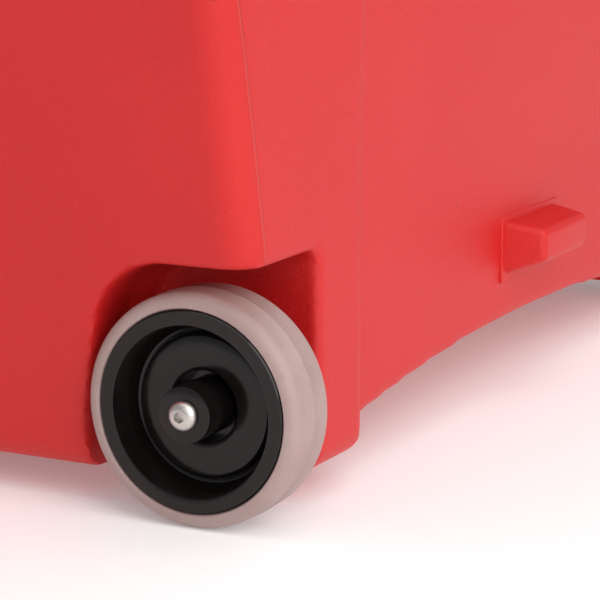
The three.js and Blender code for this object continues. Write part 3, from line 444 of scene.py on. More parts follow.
class Paint:
    """One material being made: its nodes, and the shader that they end in."""

    def __init__(self, name: str) -> None:
        """Start a material of this name with a Principled shader."""
        self.material = bpy.data.materials.new(name)
        self.material.use_nodes = True
        self.tree = self.material.node_tree
        self.tree.nodes.clear()
        self.shader = self.node("ShaderNodeBsdfPrincipled")
        output = self.node("ShaderNodeOutputMaterial")
        self.tree.links.new(self.shader.outputs["BSDF"], output.inputs["Surface"])
        self.place = self.node("ShaderNodeTexCoord").outputs["Object"]

    def node(self, kind: str, settings: dict[str, object] | None = None,
             sockets: dict[str | int, object] | None = None) -> bpy.types.Node:
        """Add any node.

        Args:
            kind: The node's type.
            settings: Its own properties, set first.
            sockets: A value or a link for each input named.

        Returns:
            The node.
        """
        made = self.tree.nodes.new(kind)
        for name, value in (settings or {}).items():
            setattr(made, name, value)
        for name, value in (sockets or {}).items():
            self.feed(made.inputs[name], value)
        return made

    def feed(self, socket: bpy.types.NodeSocket, value: object) -> None:
        """Give an input a link or a constant."""
        if isinstance(value, Wire):
            value = value.socket
        if isinstance(value, bpy.types.NodeSocket):
            self.tree.links.new(value, socket)
        elif isinstance(value, tuple) and len(value) == 3 and socket.type == "RGBA":
            socket.default_value = (*value, 1.0)
        else:
            socket.default_value = value

    def maths(self, operation: str, first: Number, second: Number = 0.0) -> Wire:
        """One Math node on wires or numbers."""
        made = self.node("ShaderNodeMath", {"operation": operation}, {0: first, 1: second})
        return Wire(self, made.outputs[0])

    def axes(self) -> tuple[Wire, Wire, Wire]:
        """The place on the object along X, Y and Z."""
        made = self.node("ShaderNodeSeparateXYZ", None, {0: self.place})
        return tuple(Wire(self, made.outputs[axis]) for axis in "XYZ")

    def noise(self, scale: float, detail: float = 2.0, roughness: float = 0.5,
              stretch: Point = (1.0, 1.0, 1.0)) -> Wire:
        """Smooth noise from 0 to 1, with so many lumps to the metre."""
        moved = self.node("ShaderNodeMapping", None, {"Vector": self.place, "Scale": stretch})
        sockets = {"Vector": moved.outputs[0], "Scale": scale, "Detail": detail, "Roughness": roughness}
        return Wire(self, self.node("ShaderNodeTexNoise", None, sockets).outputs[0])

    def band(self, value: Wire, start: float, end: float) -> Wire:
        """0 below start, 1 above end and a smooth step between; the other way round when end is the lower."""
        settings = {"interpolation_type": "SMOOTHSTEP", "clamp": True}
        if start < end:
            low, high, first, last = start, end, 0.0, 1.0
        else:
            low, high, first, last = end, start, 1.0, 0.0
        made = self.node("ShaderNodeMapRange", settings, {0: value, 1: low, 2: high, 3: first, 4: last})
        return Wire(self, made.outputs[0])

    def specks(self, spacing: float, size: float, share: float) -> Wire:
        """Scattered round specks.

        Args:
            spacing: The grid that they are scattered on, to the metre.
            size: A speck's radius as a part of the grid.
            share: The part of the grid's cells that hold one.

        Returns:
            1 in a speck, 0 elsewhere.
        """
        made = self.node("ShaderNodeTexVoronoi", None, {"Vector": self.place, "Scale": spacing})
        pieces = self.node("ShaderNodeSeparateColor", None, {0: made.outputs["Color"]})
        chosen = self.band(Wire(self, pieces.outputs[0]), 1 - share, 1 - share + 0.001)
        return self.band(Wire(self, made.outputs["Distance"]), size, size * 0.5) * chosen

    def mix(self, share: Number, first: object, second: object) -> bpy.types.NodeSocket:
        """A colour between two others."""
        made = self.node("ShaderNodeMix", {"data_type": "RGBA"}, {0: share, 6: first, 7: second})
        return made.outputs[2]

    def colour(self, value: object) -> None:
        """Set the shader's base colour."""
        self.feed(self.shader.inputs["Base Color"], value)

    def gloss(self, roughness: Number, metallic: float = 0.0, specular: float = 0.5, coat: float = 0.0) -> None:
        """Set how the shader shines."""
        self.feed(self.shader.inputs["Roughness"], roughness)
        self.shader.inputs["Metallic"].default_value = metallic
        self.shader.inputs["Specular IOR Level"].default_value = specular
        self.shader.inputs["Coat Weight"].default_value = coat

    def relief(self, height: Wire, distance: float, strength: float = 1.0) -> None:
        """Raise the surface by a height of 0 to 1 times a distance in metres."""
        sockets = {"Height": height, "Distance": distance, "Strength": strength}
        made = self.node("ShaderNodeBump", None, sockets)
        self.feed(self.shader.inputs["Normal"], made.outputs[0])


@dataclass(frozen=True)
class MouldedShell:
    """Rotomoulded polyethylene: a dense colour, slightly clouded, with a fine dry grain, stray specks, and a painted
    highlight along the raised mould line.
    """

    name: str = "moulded_red"
    deep: Colour = srgb(197, 24, 24)
    pale: Colour = srgb(201, 28, 27)
    # A lighter red: the real dust, bloom and light specks, and the painted highlight along the mould line.
    dusty: Colour = srgb(216, 74, 69)
    speck: Colour = srgb(104, 14, 15)
    grain_height: float = 0.00036
    line_height: float = 0.0006
    line_low: tuple[float, float] = (0.2126, 0.2165)
    line_high: tuple[float, float] = (0.0524, 0.2493)
    line_x: tuple[float, float] = (0.445, 0.450)
    line_top: tuple[float, float] = (0.27, 0.23)
    line_end: tuple[float, float] = (0.088, 0.094)

    def make(self) -> bpy.types.Material:
        """Make the material."""
        paint = Paint(self.name)
        cloud = paint.band(paint.noise(9, 3.0), 0.3, 0.7)
        dust = paint.band(paint.noise(1500, 2.0, 0.6), 0.45, 0.75)
        bloom = paint.band(paint.noise(420, 3.0, 0.65), 0.5, 0.8)
        line = self.mould_line(paint)
        colour = paint.mix(cloud, self.deep, self.pale)
        # Painted highlight: the mould line is mixed a third of the way to the lighter red, standing in for the light
        # that its ridge catches; fine dust and bloom add real lighter tone.
        colour = paint.mix(dust * 0.10 + bloom * 0.10 + line * 0.34, colour, self.dusty)
        colour = paint.mix(paint.specks(150, 0.10, 0.022) * 0.75, colour, self.speck)
        colour = paint.mix(paint.specks(210, 0.12, 0.02) * 0.5, colour, self.dusty)
        paint.colour(colour)
        paint.gloss(dust * 0.08 + 0.44 + bloom * 0.06, specular=0.4)
        grain = paint.noise(1500, 3.0, 0.65) * 0.55 + paint.noise(500, 2.0) * 0.45
        pits = paint.specks(260, 0.16, 0.05)
        share = self.grain_height / self.line_height
        paint.relief((grain - pits * 0.5) * share + line, self.line_height)
        return paint.material

    def mould_line(self, paint: Paint) -> Wire:
        """The thin raised line that the mould's parting leaves down each wheel-end corner, which the shell also
        paints lighter as a painted highlight.

        Args:
            paint: The material being made.

        Returns:
            1 along the line, 0 elsewhere.
        """
        along, across, up = paint.axes()
        low = up * self.line_low[0] + self.line_low[1]
        high = up * self.line_high[0] + self.line_high[1]
        place = abs(across) - paint.maths("MINIMUM", low, high)
        wander = (paint.noise(26, 2.0) - 0.5) * 0.0016
        ridge = paint.band(abs(place + wander), 0.0011, 0.0003)
        height = paint.band(up, *self.line_top) * paint.band(up, *self.line_end)
        return ridge * paint.band(along, *self.line_x) * height


@dataclass(frozen=True)
class MouldedTrim:
    """Injection-moulded plastic, from matt to glossy, with faint handling marks."""

    name: str
    base: Colour
    worn: Colour
    roughness: float
    grain: float = 900.0
    grain_height: float = 0.00008
    specular: float = 0.5

    def make(self) -> bpy.types.Material:
        """Make the material."""
        paint = Paint(self.name)
        marks = paint.band(paint.noise(140, 4.0, 0.6, (1.0, 1.0, 3.0)), 0.56, 0.8)
        dust = paint.specks(480, 0.14, 0.035)
        paint.colour(paint.mix(marks * 0.35 + dust * 0.5, self.base, self.worn))
        paint.gloss(marks * 0.14 + self.roughness + paint.noise(45, 2.0) * 0.06, specular=self.specular)
        paint.relief(paint.noise(self.grain, 2.0), self.grain_height)
        return paint.material


@dataclass(frozen=True)
class Rubber:
    """Rubber with a dry bloom and a fine matt grain."""

    name: str
    base: Colour
    bloom: Colour
    roughness: float = 0.62
    grain_height: float = 0.00015

    def make(self) -> bpy.types.Material:
        """Make the material."""
        paint = Paint(self.name)
        cloud = paint.band(paint.noise(38, 4.0, 0.6), 0.35, 0.7)
        grime = paint.band(paint.noise(240, 3.0, 0.6), 0.55, 0.78)
        colour = paint.mix(cloud, self.base, self.bloom)
        colour = paint.mix(grime * 0.25, colour, tuple(channel * 0.72 for channel in self.base))
        paint.colour(colour)
        paint.gloss(cloud * 0.1 + self.roughness, specular=0.4)
        paint.relief(paint.noise(1300, 3.0, 0.6) * 0.7 + grime * 0.3, self.grain_height)
        return paint.material


@dataclass(frozen=True)
class Metal:
    """Bare metal with fine brushing and small dull spots."""

    name: str
    base: Colour
    dull: Colour
    roughness: float = 0.28
    brushing: Point = (1.0, 12.0, 12.0)

    def make(self) -> bpy.types.Material:
        """Make the material."""
        paint = Paint(self.name)
        lines = paint.noise(700, 2.0, 0.6, self.brushing)
        spots = paint.band(paint.noise(260, 3.0, 0.6), 0.58, 0.76)
        paint.colour(paint.mix(spots * 0.5 + lines * 0.2, self.base, self.dull))
        paint.gloss(spots * 0.15 + lines * 0.1 + self.roughness, metallic=1.0)
        paint.relief(lines, 0.00003)
        return paint.material


@dataclass(frozen=True)
class BlownFoam:
    """Rigid foam with small open cells."""

    name: str = "blown_foam"
    base: Colour = srgb(232, 217, 168)
    cell: Colour = srgb(196, 174, 116)

    def make(self) -> bpy.types.Material:
        """Make the material."""
        paint = Paint(self.name)
        cells = paint.band(paint.noise(620, 3.0, 0.6), 0.4, 0.62)
        paint.colour(paint.mix(cells, self.cell, self.base))
        paint.gloss(0.92, specular=0.2)
        paint.relief(cells, 0.0006)
        return paint.material


class Finish(Enum):
    """The record's material slots and the finish that dresses each."""

    SHELL = ("shell", MouldedShell())
    FOAM = ("foam", BlownFoam())
    TRIM = ("trim", MouldedTrim("black_trim", srgb(36, 34, 34), srgb(70, 66, 64), 0.48))
    HUB = ("hub", MouldedTrim("hub_black", srgb(19, 14, 14), srgb(44, 36, 35), 0.14, 600.0, 0.00002, 0.32))
    TYRE = ("tyre", Rubber("tyre_grey", srgb(160, 135, 131), srgb(169, 146, 142), 0.42))
    LATCH = ("latch", Rubber("latch_black", srgb(38, 38, 39), srgb(58, 57, 56)))
    GRIP = ("grip", Rubber("grip_black", srgb(36, 36, 37), srgb(56, 55, 54), 0.7, 0.0003))
    FOOT = ("foot", Rubber("foot_black", srgb(34, 34, 35), srgb(66, 62, 60), 0.74))
    SEAL = ("seal", Rubber("seal_grey", srgb(84, 86, 88), srgb(104, 105, 106), 0.68))
    STEEL = ("steel", Metal("bright_steel", srgb(205, 200, 195), srgb(148, 142, 138)))
    INSERT = ("insert", Metal("insert_brass", srgb(198, 166, 96), srgb(150, 118, 62), 0.34))
    TUBE = ("tube", Metal("tube_aluminium", srgb(196, 199, 203), srgb(150, 153, 158), 0.34, (12.0, 1.0, 12.0)))

    @property
    def slot(self) -> str:
        """The record's material slot."""
        return self.value[0]

    def material(self) -> bpy.types.Material:
        """The finish's material, made the first time that it is asked for."""
        return bpy.data.materials.get(self.value[1].name) or self.value[1].make()


def dress(piece: bpy.types.Object, body: str, finish: Finish, *nodes: str) -> bpy.types.Object:
    """Give a finished piece its material, its body and the CAD nodes that it stands for.

    Args:
        piece: The piece.
        body: The body that it rides on.
        finish: Its finish.
        *nodes: The CAD nodes that it replaces.

    Returns:
        The piece.
    """
    piece.data.materials.clear()
    piece.data.materials.append(finish.material())
    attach(piece, body)
    if nodes:
        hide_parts(*nodes)
    log.info("%s: %d faces on %s", piece.name, len(piece.data.polygons), body)
    return piece


# ------------------------------------------------------------------ the cooler's plan


@dataclass(frozen=True)
class Plan:
    """The cooler's sizes in metres, and the places that follow from them."""

    axle_x: float
    base_z: float = 0.014
    rim_z: float = 0.400
    split_z: float = 0.4006
    half_track: float = 0.243
    side_proud: float = 0.0032
    pocket_top_z: float = 0.089
    pocket_back_y: float = 0.1986
    column_inner_y: float = 0.164
    column_face: float = 0.0252
    wall_face: float = 0.0188
    base_length: float = 0.870
    wheel_radius: float = 0.040
    wall: float = 0.045
    low_taper: float = math.tan(math.radians(12))
    high_taper: float = math.tan(math.radians(3))
    knee_z: float = 0.170
    knee_height: float = 0.070
    wheel_end_draft: float = math.tan(math.radians(1.5))
    handle_end_draft: float = math.tan(math.radians(3))
    tub_draft: float = math.tan(math.radians(4))
    corner: float = 0.012
    rim_corner: float = 0.028
    overhang: float = 0.006
    hardware_proud: float = 0.016
    knuckle: float = 0.009
    knuckle_room: float = 0.0098
    knuckle_length: float = 0.024
    knuckle_starts: tuple[float, float] = (-0.0363, 0.0123)
    pin_bore: float = 0.0038
    port: float = 0.012

    def side_at(self, z: float) -> float:
        """Half the body's width at a height."""
        below = min(z, self.knee_z) - self.pocket_top_z
        inside = min(max(z - self.knee_z, 0.0), self.knee_height)
        above = max(z - self.knee_z - self.knee_height, 0.0)
        turned = inside * self.low_taper + (self.high_taper - self.low_taper) * inside ** 2 / (2 * self.knee_height)
        return self.half_track + self.side_proud + below * self.low_taper + turned + above * self.high_taper

    def rear_at(self, z: float) -> float:
        """X of the handle end wall at a height."""
        return self.axle_x + self.wall_face - self.base_length - (z - self.base_z) * self.handle_end_draft

    def front_at(self, z: float) -> float:
        """X of the wheel end wall at a height."""
        return self.axle_x + self.wall_face + (z - self.base_z) * self.wheel_end_draft

    @property
    def merge_z(self) -> float:
        """The height at which the columns run into the end wall."""
        return self.base_z + (self.column_face - self.wall_face) / self.wheel_end_draft

    def corner_at(self, z: float) -> float:
        """Plan corner radius at a height."""
        share = min(max((z - self.merge_z) / (self.rim_z - self.merge_z), 0.0), 1.0)
        return self.corner + share * (self.rim_corner - self.corner)

    @property
    def hardware_y(self) -> float:
        """How far hinges and latches reach from the middle."""
        return self.side_at(self.rim_z) + self.overhang + self.hardware_proud

    @property
    def hinge(self) -> tuple[float, float]:
        """Y and Z of the hinge line."""
        return self.hardware_y - 0.009, self.rim_z + 0.0003

    @property
    def hinge_xs(self) -> tuple[float, float]:
        """X of the two hinges."""
        return -0.3 * self.base_length, 0.3 * self.base_length

    @property
    def latch_xs(self) -> tuple[float, float]:
        """X of the two latches."""
        return -0.276 * self.base_length, 0.276 * self.base_length

    @property
    def latch(self) -> tuple[float, float]:
        """Y and Z of the latch pivots."""
        return -(self.hardware_y - 0.0095), self.rim_z - 0.055

    def slice(self, z: float, front: float, inset: float = 0.0) -> Section:
        """The body's section at a height, with a given front and every wall drawn in."""
        radius = max(self.corner_at(z) - inset, 0.002)
        return Section(z, self.rear_at(z) + inset, front - inset, self.side_at(z) - inset, radius)

    def rim_slice(self, z: float, offset: float, least: float = 0.003) -> Section:
        """The rim's outline at another height, moved out by an offset."""
        edge = self.rim_z
        radius = max(self.rim_corner + offset, least)
        x0, x1 = self.rear_at(edge) - offset, self.front_at(edge) + offset
        return Section(z, x0, x1, self.side_at(edge) + offset, radius)


@dataclass
class Chest:
    """The moulded body: tapered sides, columns and wheel pockets at one end, and the tub inside."""

    plan: Plan
    base_round: float = 0.008
    grain_voxel: float = 0.0020
    quick_voxel: float = 0.005
    smoothing: int = 4
    most_faces: int = 170_000
    floor_z: float = 0.066
    lug_half: float = 0.028
    lug_front_half: float = 0.023
    lug_z: tuple[float, float] = (0.0485, 0.0725)
    lug_front_z: tuple[float, float] = (0.056, 0.069)
    lug_proud: float = 0.0165
    drain: tuple[float, float] = (-0.150, 0.080)
    beyond: float = 0.060
    foot_drop: float = 0.0028

    def build(self) -> None:
        """Model the body and dress it."""
        plan = self.plan
        form = weld(self.outer("chest_body", plan.front_at, 0.0), self.columns())
        cut(form, *(self.pocket(side) for side in Side), self.arch(), self.tub(), self.hand_recess())
        cut(form, self.drain_recess())
        self.ease_arch(form)
        self.soften_all(form)
        weld(form, *self.bosses(), self.lug_bead(), self.lug(), *self.knuckles(), *self.ears())
        cut(form, *self.holes())
        smooth(form, 40)
        dress(form, "chest", Finish.SHELL, "body_shell")

    def levels(self, top: float) -> list[float]:
        """Heights at which the body has a section above its base rounding."""
        plan = self.plan
        knee = [plan.knee_z + plan.knee_height * step / 8 for step in range(9)]
        return [z for z in [0.03, 0.10, *knee, plan.merge_z, 0.30, 0.35, plan.rim_z] if z <= top]

    def outer(self, name: str, front: Callable[[float], float], inner: float) -> bpy.types.Object:
        """The body as a solid block.

        Args:
            name: The piece's name.
            front: X of its front at a height.
            inner: How far below the rim it ends.

        Returns:
            The piece.
        """
        plan, reach = self.plan, self.base_round
        sections = []
        for step in range(7):
            angle = math.radians(90 * step / 6)
            z = plan.base_z + reach - reach * math.cos(angle)
            sections.append(plan.slice(z, front(z), reach - reach * math.sin(angle)))
        sections += [plan.slice(z, front(z)) for z in self.levels(plan.rim_z - inner)]
        return loft(name, sections, 10)

    def columns(self) -> bpy.types.Object:
        """The two columns that stand out of the wheel end."""
        plan = self.plan
        face = plan.axle_x + plan.column_face
        tall = self.outer("columns", lambda z: face, plan.rim_z - plan.merge_z)
        with editing(tall):
            pick(tall, lambda p: p.z < plan.base_z + self.base_round + MM and p.x > face - 0.03)
            bpy.ops.transform.translate(value=(0, 0, -self.foot_drop))
        half = plan.column_inner_y
        low = (-1.0, -half, -1.0)
        return cut(tall, block("between_columns", low, (1.0, half, 1.0)))

    def pocket(self, side: Side) -> bpy.types.Object:
        """The room for one wheel, as a cutter."""
        plan = self.plan
        x, back = plan.axle_x, side.value * plan.pocket_back_y
        depth = 0.16
        upper = rod("pocket_upper", side.outward, (x - 0.008, back, 0.059), 0.030, depth, 96)
        lower = rod("pocket_lower", side.outward, (x - 0.022, back, 0.0265), 0.0246, depth, 96)
        ys = sorted((back, back + side.value * depth))
        open_end = block("pocket_end", (x - 0.008, ys[0], -self.beyond), (x + 0.12, ys[1], plan.pocket_top_z))
        mouth = block("pocket_mouth", (x - 0.0425, ys[0], -self.beyond), (x, ys[1], 0.0265))
        return self.wrap("pocket", upper, lower, open_end, mouth)

    @staticmethod
    def wrap(name: str, *parts: bpy.types.Object) -> bpy.types.Object:
        """One convex solid stretched round several."""
        bpy.ops.object.select_all(action="DESELECT")
        for part in parts:
            part.select_set(True)
        bpy.context.view_layer.objects.active = parts[0]
        bpy.ops.object.join()
        piece = bpy.context.object
        piece.name = name
        with editing(piece):
            bpy.ops.mesh.select_all(action="SELECT")
            bpy.ops.mesh.convex_hull()
            bpy.ops.mesh.select_all(action="SELECT")
            bpy.ops.mesh.normals_make_consistent(inside=False)
        return piece

    def arch(self) -> bpy.types.Object:
        """The shallow arch along the underside, as a cutter."""
        half, edge, crown = self.plan.column_inner_y, 0.020, 0.032
        rise = crown - edge
        radius = (half ** 2 + rise ** 2) / (2 * rise)
        bow = rod("arch", Direction.PLUS_X, (-1.0, 0.0, crown - radius), radius, 2.0, 360)
        return combine(bow, block("arch_span", (-0.9, -half, -0.2), (0.9, half, 0.2)), "INTERSECT")

    def ease_arch(self, form: bpy.types.Object) -> None:
        """Round the edges where the arch meets the two end walls."""
        plan, half = self.plan, self.plan.column_inner_y - 0.014
        front, rear = plan.front_at(0.02) - 0.002, plan.rear_at(0.02) + 0.002
        chamfer(form, 0.003, 4, lambda p: 0.015 < p.z < 0.033 and abs(p.y) < half and not rear < p.x < front)

    def tub(self) -> bpy.types.Object:
        """The space inside, as a cutter."""
        plan, floor_round, top = self.plan, 0.022, 0.119

        def at(z: float, inset: float) -> Section:
            lean = (plan.rim_z - z) * plan.tub_draft
            x0 = plan.rear_at(plan.rim_z) + plan.wall + lean + inset
            x1 = plan.front_at(plan.rim_z) - plan.wall - lean - inset
            half = plan.side_at(plan.rim_z) - plan.wall - lean - inset
            return Section(z, x0, x1, half, 0.030 - inset)

        sections = []
        for step in range(7):
            angle = math.radians(90 * step / 6)
            z = self.floor_z + floor_round * (1 - math.cos(angle))
            sections.append(at(z, floor_round * (1 - math.sin(angle))))
        space = loft("tub", [*sections, at(plan.rim_z + self.beyond, 0.0)], 10)
        for side in Side:
            near_edge, edge_x = side.value * 0.1686, plan.axle_x - 0.0777
            inner, outer = sorted((near_edge, side.value * 0.4))
            cover = block("pocket_cover", (edge_x, inner, 0.0), (plan.axle_x + 0.1, outer, top))
            chamfer(cover, 0.020, 6, lambda p: abs(p.z - top) < MM
                    and (abs(p.x - edge_x) < MM or abs(p.y - near_edge) < MM))
            cut(space, cover)
        return space

    def hand_recess(self) -> bpy.types.Object:
        """The recess for a hand under the rim, as a cutter."""
        deep = self.plan.front_at(0.330) - 0.026
        hollow = block("hand_recess", (deep, -0.065, 0.330), (deep + 0.08, 0.065, 0.366))
        with editing(hollow):
            pick(hollow, lambda p: p.x < deep + MM and p.z < 0.331)
            bpy.ops.transform.translate(value=(0, 0, 0.0087))
        chamfer(hollow, 0.009, 5, lambda p: p.x < deep + MM)
        return chamfer(hollow, 0.009, 5, lambda p: abs(abs(p.y) - 0.065) < MM)

    def drain_recess(self) -> bpy.types.Object:
        """The round recess for the drain, as a cutter."""
        y, z = self.drain
        deep = self.plan.rear_at(z) + 0.018
        return rod("drain_recess", Direction.MINUS_X, (deep, y, z), 0.032, 0.1, 96)

    def soften_all(self, form: bpy.types.Object) -> None:
        """Give every edge the soft radius of a moulding, and keep the mesh to a fair size."""
        voxel = self.grain_voxel
        finish_with(form, "REMESH", mode="VOXEL", voxel_size=voxel)
        finish_with(form, "SMOOTH", factor=0.5, iterations=self.smoothing)
        share = self.most_faces / (2 * len(form.data.polygons))
        if share < 1:
            finish_with(form, "DECIMATE", decimate_type="COLLAPSE", ratio=share)

    def bosses(self) -> list[bpy.types.Object]:
        """The bosses that the axle bolts screw into."""
        plan, reach = self.plan, 0.0144
        root = [(0.020, -0.003), (0.020, 0.0), (0.0185, 0.0015), (0.018, 0.004)]
        profile = [*root, (0.018, reach - 0.001), (0.017, reach)]
        made = []
        for side in Side:
            centre = (plan.axle_x, side.value * plan.pocket_back_y, plan.wheel_radius)
            made.append(turn("axle_boss", side.outward, centre, profile))
        return made

    def lug(self) -> bpy.types.Object:
        """The step lug in the middle of the wheel end."""
        wall = self.plan.front_at(self.lug_z[1])
        low, high = self.lug_z
        piece = block("lug", (wall - 0.005, -self.lug_half, low), (wall + self.lug_proud, self.lug_half, high))
        front_low, front_high = self.lug_front_z
        with editing(piece):
            pick(piece, lambda p: p.x > wall)
            scale = (1, self.lug_front_half / self.lug_half, (front_high - front_low) / (high - low))
            bpy.ops.transform.resize(value=scale, center_override=(0, 0, (low + high) / 2))
            bpy.ops.transform.translate(value=(0, 0, (front_low + front_high - low - high) / 2))
        return soften(piece, 0.0028, 20, 5)

    def lug_bead(self) -> bpy.types.Object:
        """The low bead round the lug's root."""
        wall = self.plan.front_at(self.lug_z[1])
        low, high = self.lug_z
        reach = 0.0014
        corner = (wall + 0.0006, self.lug_half + reach, high + reach)
        piece = block("lug_bead", (wall - 0.004, -self.lug_half - reach, low - reach), corner)
        return soften(piece, 0.0008, 20, 3)

    def knuckles(self) -> list[bpy.types.Object]:
        """The body's hinge knuckles on their webs."""
        plan = self.plan
        y, z = plan.hinge
        root = plan.side_at(plan.rim_z) - 0.004
        made = []
        for x in plan.hinge_xs:
            for start in (x + offset for offset in plan.knuckle_starts):
                barrel = rod("knuckle", Direction.PLUS_X, (start, y, z), plan.knuckle, plan.knuckle_length)
                corner = (start + plan.knuckle_length, y, plan.rim_z)
                web = block("web", (start, root, plan.rim_z - 0.030), corner)
                with editing(web):
                    pick(web, lambda p: p.y > y - MM and p.z < plan.rim_z - MM)
                    bpy.ops.transform.translate(value=(0, 0, 0.021))
                made += [soften(web, 0.0012), soften(barrel, 0.0008)]
        return made

    def ears(self) -> list[bpy.types.Object]:
        """The pairs of ears that hold the latch pins."""
        plan = self.plan
        y, z = plan.latch
        made = []
        for x in plan.latch_xs:
            for start in (x - 0.0158, x + 0.0098):
                corner = (start + 0.006, -plan.side_at(z) + 0.004, z + 0.0075)
                ear = block("ear", (start, y - 0.0072, z - 0.0075), corner)
                with editing(ear):
                    pick(ear, lambda p: p.y > y + MM)
                    bpy.ops.transform.resize(value=(1, 1, 2.2), center_override=(0, 0, z - 0.002))
                chamfer(ear, 0.0065, 6, lambda p: p.y < y)
                made.append(soften(ear, 0.0009, 40))
        return made

    def holes(self) -> list[bpy.types.Object]:
        """Room for the lid's knuckles and bores for the pins and the drain, as cutters."""
        plan = self.plan
        y, z = plan.hinge
        made = []
        for x in plan.hinge_xs:
            made.append(rod("room", Direction.PLUS_X, (x - 0.0123, y, z), plan.knuckle_room, 0.0246))
            made.append(rod("bore", Direction.PLUS_X, (x - 0.048, y, z), plan.pin_bore, 0.096))
        drain_y, drain_z = self.drain
        start = (plan.rear_at(drain_z) - 0.02, drain_y, drain_z)
        made.append(rod("drain_bore", Direction.PLUS_X, start, 0.012, 0.11))
        made.append(rod("port", Direction.PLUS_Z, (0, 0, -0.01), plan.port, 0.049))
        return made


@dataclass
class Lid:
    """The moulded lid: rounded edges, a sunken top panel, a plug that drops into the tub and a gasket."""

    plan: Plan
    height: float = 0.060
    edge_round: float = 0.014
    plug_depth: float = 0.010
    panel_inset: float = 0.075
    panel_depth: float = 0.002
    keeper_proud: float = 0.004

    def build(self) -> None:
        """Model the lid and its gasket and dress them."""
        plan = self.plan
        cover = loft("lid_cover", self.slices(), 12)
        cut(cover, self.ring("groove", 0.0003), *self.knuckle_room())
        weld(cover, *self.knuckles(), *self.keepers())
        y, z = plan.hinge
        for x in plan.hinge_xs:
            cut(cover, rod("bore", Direction.PLUS_X, (x - 0.02, y, z), plan.pin_bore, 0.04))
        cut(cover, rod("port", Direction.PLUS_Z, (0, 0, plan.split_z - 0.02), plan.port, 0.028))
        smooth(cover, 32)
        finish_with(cover, "WEIGHTED_NORMAL", keep_sharp=True)
        dress(cover, "lid", Finish.SHELL, "lid_shell")
        gasket = soften(self.ring("gasket_ring", 0.0), 0.0012)
        dress(gasket, "lid", Finish.SEAL, "lid_gasket")

    def slices(self) -> list[Section]:
        """The lid's sections, from the plug's underside out and up to the panel."""
        plan = self.plan
        split, top = plan.split_z, plan.rim_z + self.height
        low = split - self.plug_depth
        plug = [(low, -0.0525), (low + 0.0008, -0.0508), (low + 0.0025, -0.050), (split, -0.049)]
        under = [(split, 0.0035), (split + 0.0006, 0.0052), (split + 0.0025, plan.overhang)]
        shoulder = top - self.edge_round
        rounding = arc((plan.overhang - self.edge_round, shoulder), self.edge_round, 0, 90, 10)
        edge = [(z, offset) for offset, z in rounding]
        inset = -self.panel_inset
        panel = [
            (top, inset + 0.004),
            (top - 0.0003, inset + 0.0022),
            (top - self.panel_depth + 0.0003, inset - 0.0002),
            (top - self.panel_depth, inset - 0.002),
        ]
        sections = [self.with_radius(plan.rim_slice(z, offset), 0.026) for z, offset in plug]
        sections += [plan.rim_slice(z, offset) for z, offset in [*under, *edge]]
        return [*sections, *(self.with_radius(plan.rim_slice(z, offset), 0.012) for z, offset in panel)]

    @staticmethod
    def with_radius(section: Section, radius: float) -> Section:
        """The same section with another corner radius."""
        return Section(section.z, section.x0, section.x1, section.half, radius)

    def ring(self, name: str, slack: float) -> bpy.types.Object:
        """The gasket's ring, or with slack the groove that it sits in."""
        plan = self.plan
        low, high = plan.rim_z + 0.0003 - slack * 20, plan.rim_z + 0.0057 + slack
        outer = loft(name, [plan.rim_slice(z, slack - 0.014) for z in (low, high)], 12)
        inner = loft("ring_core", [plan.rim_slice(z, -0.022 - slack) for z in (low - 0.01, high + 0.01)], 12)
        return cut(outer, inner)

    def knuckle_room(self) -> list[bpy.types.Object]:
        """Room for the body's knuckles in the lid's back edge, as cutters."""
        plan = self.plan
        y, z = plan.hinge
        reach = plan.knuckle_room
        made = []
        for x in plan.hinge_xs:
            for start in (x + offset for offset in plan.knuckle_starts):
                low = (start - 0.0008, y - reach, z - 0.05)
                made.append(block("room", low, (start + 0.0248, y + 0.05, z + reach)))
        return made

    def knuckles(self) -> list[bpy.types.Object]:
        """The lid's hinge knuckles on their webs."""
        plan = self.plan
        y, z = plan.hinge
        root = plan.side_at(plan.rim_z)
        made = []
        for x in plan.hinge_xs:
            start = x - 0.0117
            barrel = rod("knuckle", Direction.PLUS_X, (start, y, z), plan.knuckle, 0.0234)
            web = block("web", (start, root, plan.split_z), (start + 0.0234, y + 0.006, plan.split_z + 0.030))
            with editing(web):
                pick(web, lambda p: p.y > root + MM and p.z > plan.split_z + MM)
                bpy.ops.transform.translate(value=(0, 0, -0.0225))
            made += [soften(web, 0.001), soften(barrel, 0.0008)]
        return made

    def keepers(self) -> list[bpy.types.Object]:
        """The prongs on the lid's front that the latch heads hook over."""
        plan = self.plan
        face = -(plan.side_at(plan.rim_z) + plan.overhang)
        low = plan.split_z + 0.004
        made = []
        for x in plan.latch_xs:
            for start in (x - 0.025, x + 0.0103):
                corner = (start + 0.0147, face + 0.002, low + 0.022)
                prong = block("keeper", (start, face - self.keeper_proud, low), corner)
                with editing(prong):
                    pick(prong, lambda p: p.y < face and p.z < low + MM)
                    bpy.ops.transform.translate(value=(0, 0, self.keeper_proud))
                made.append(soften(prong, 0.0008))
        return made


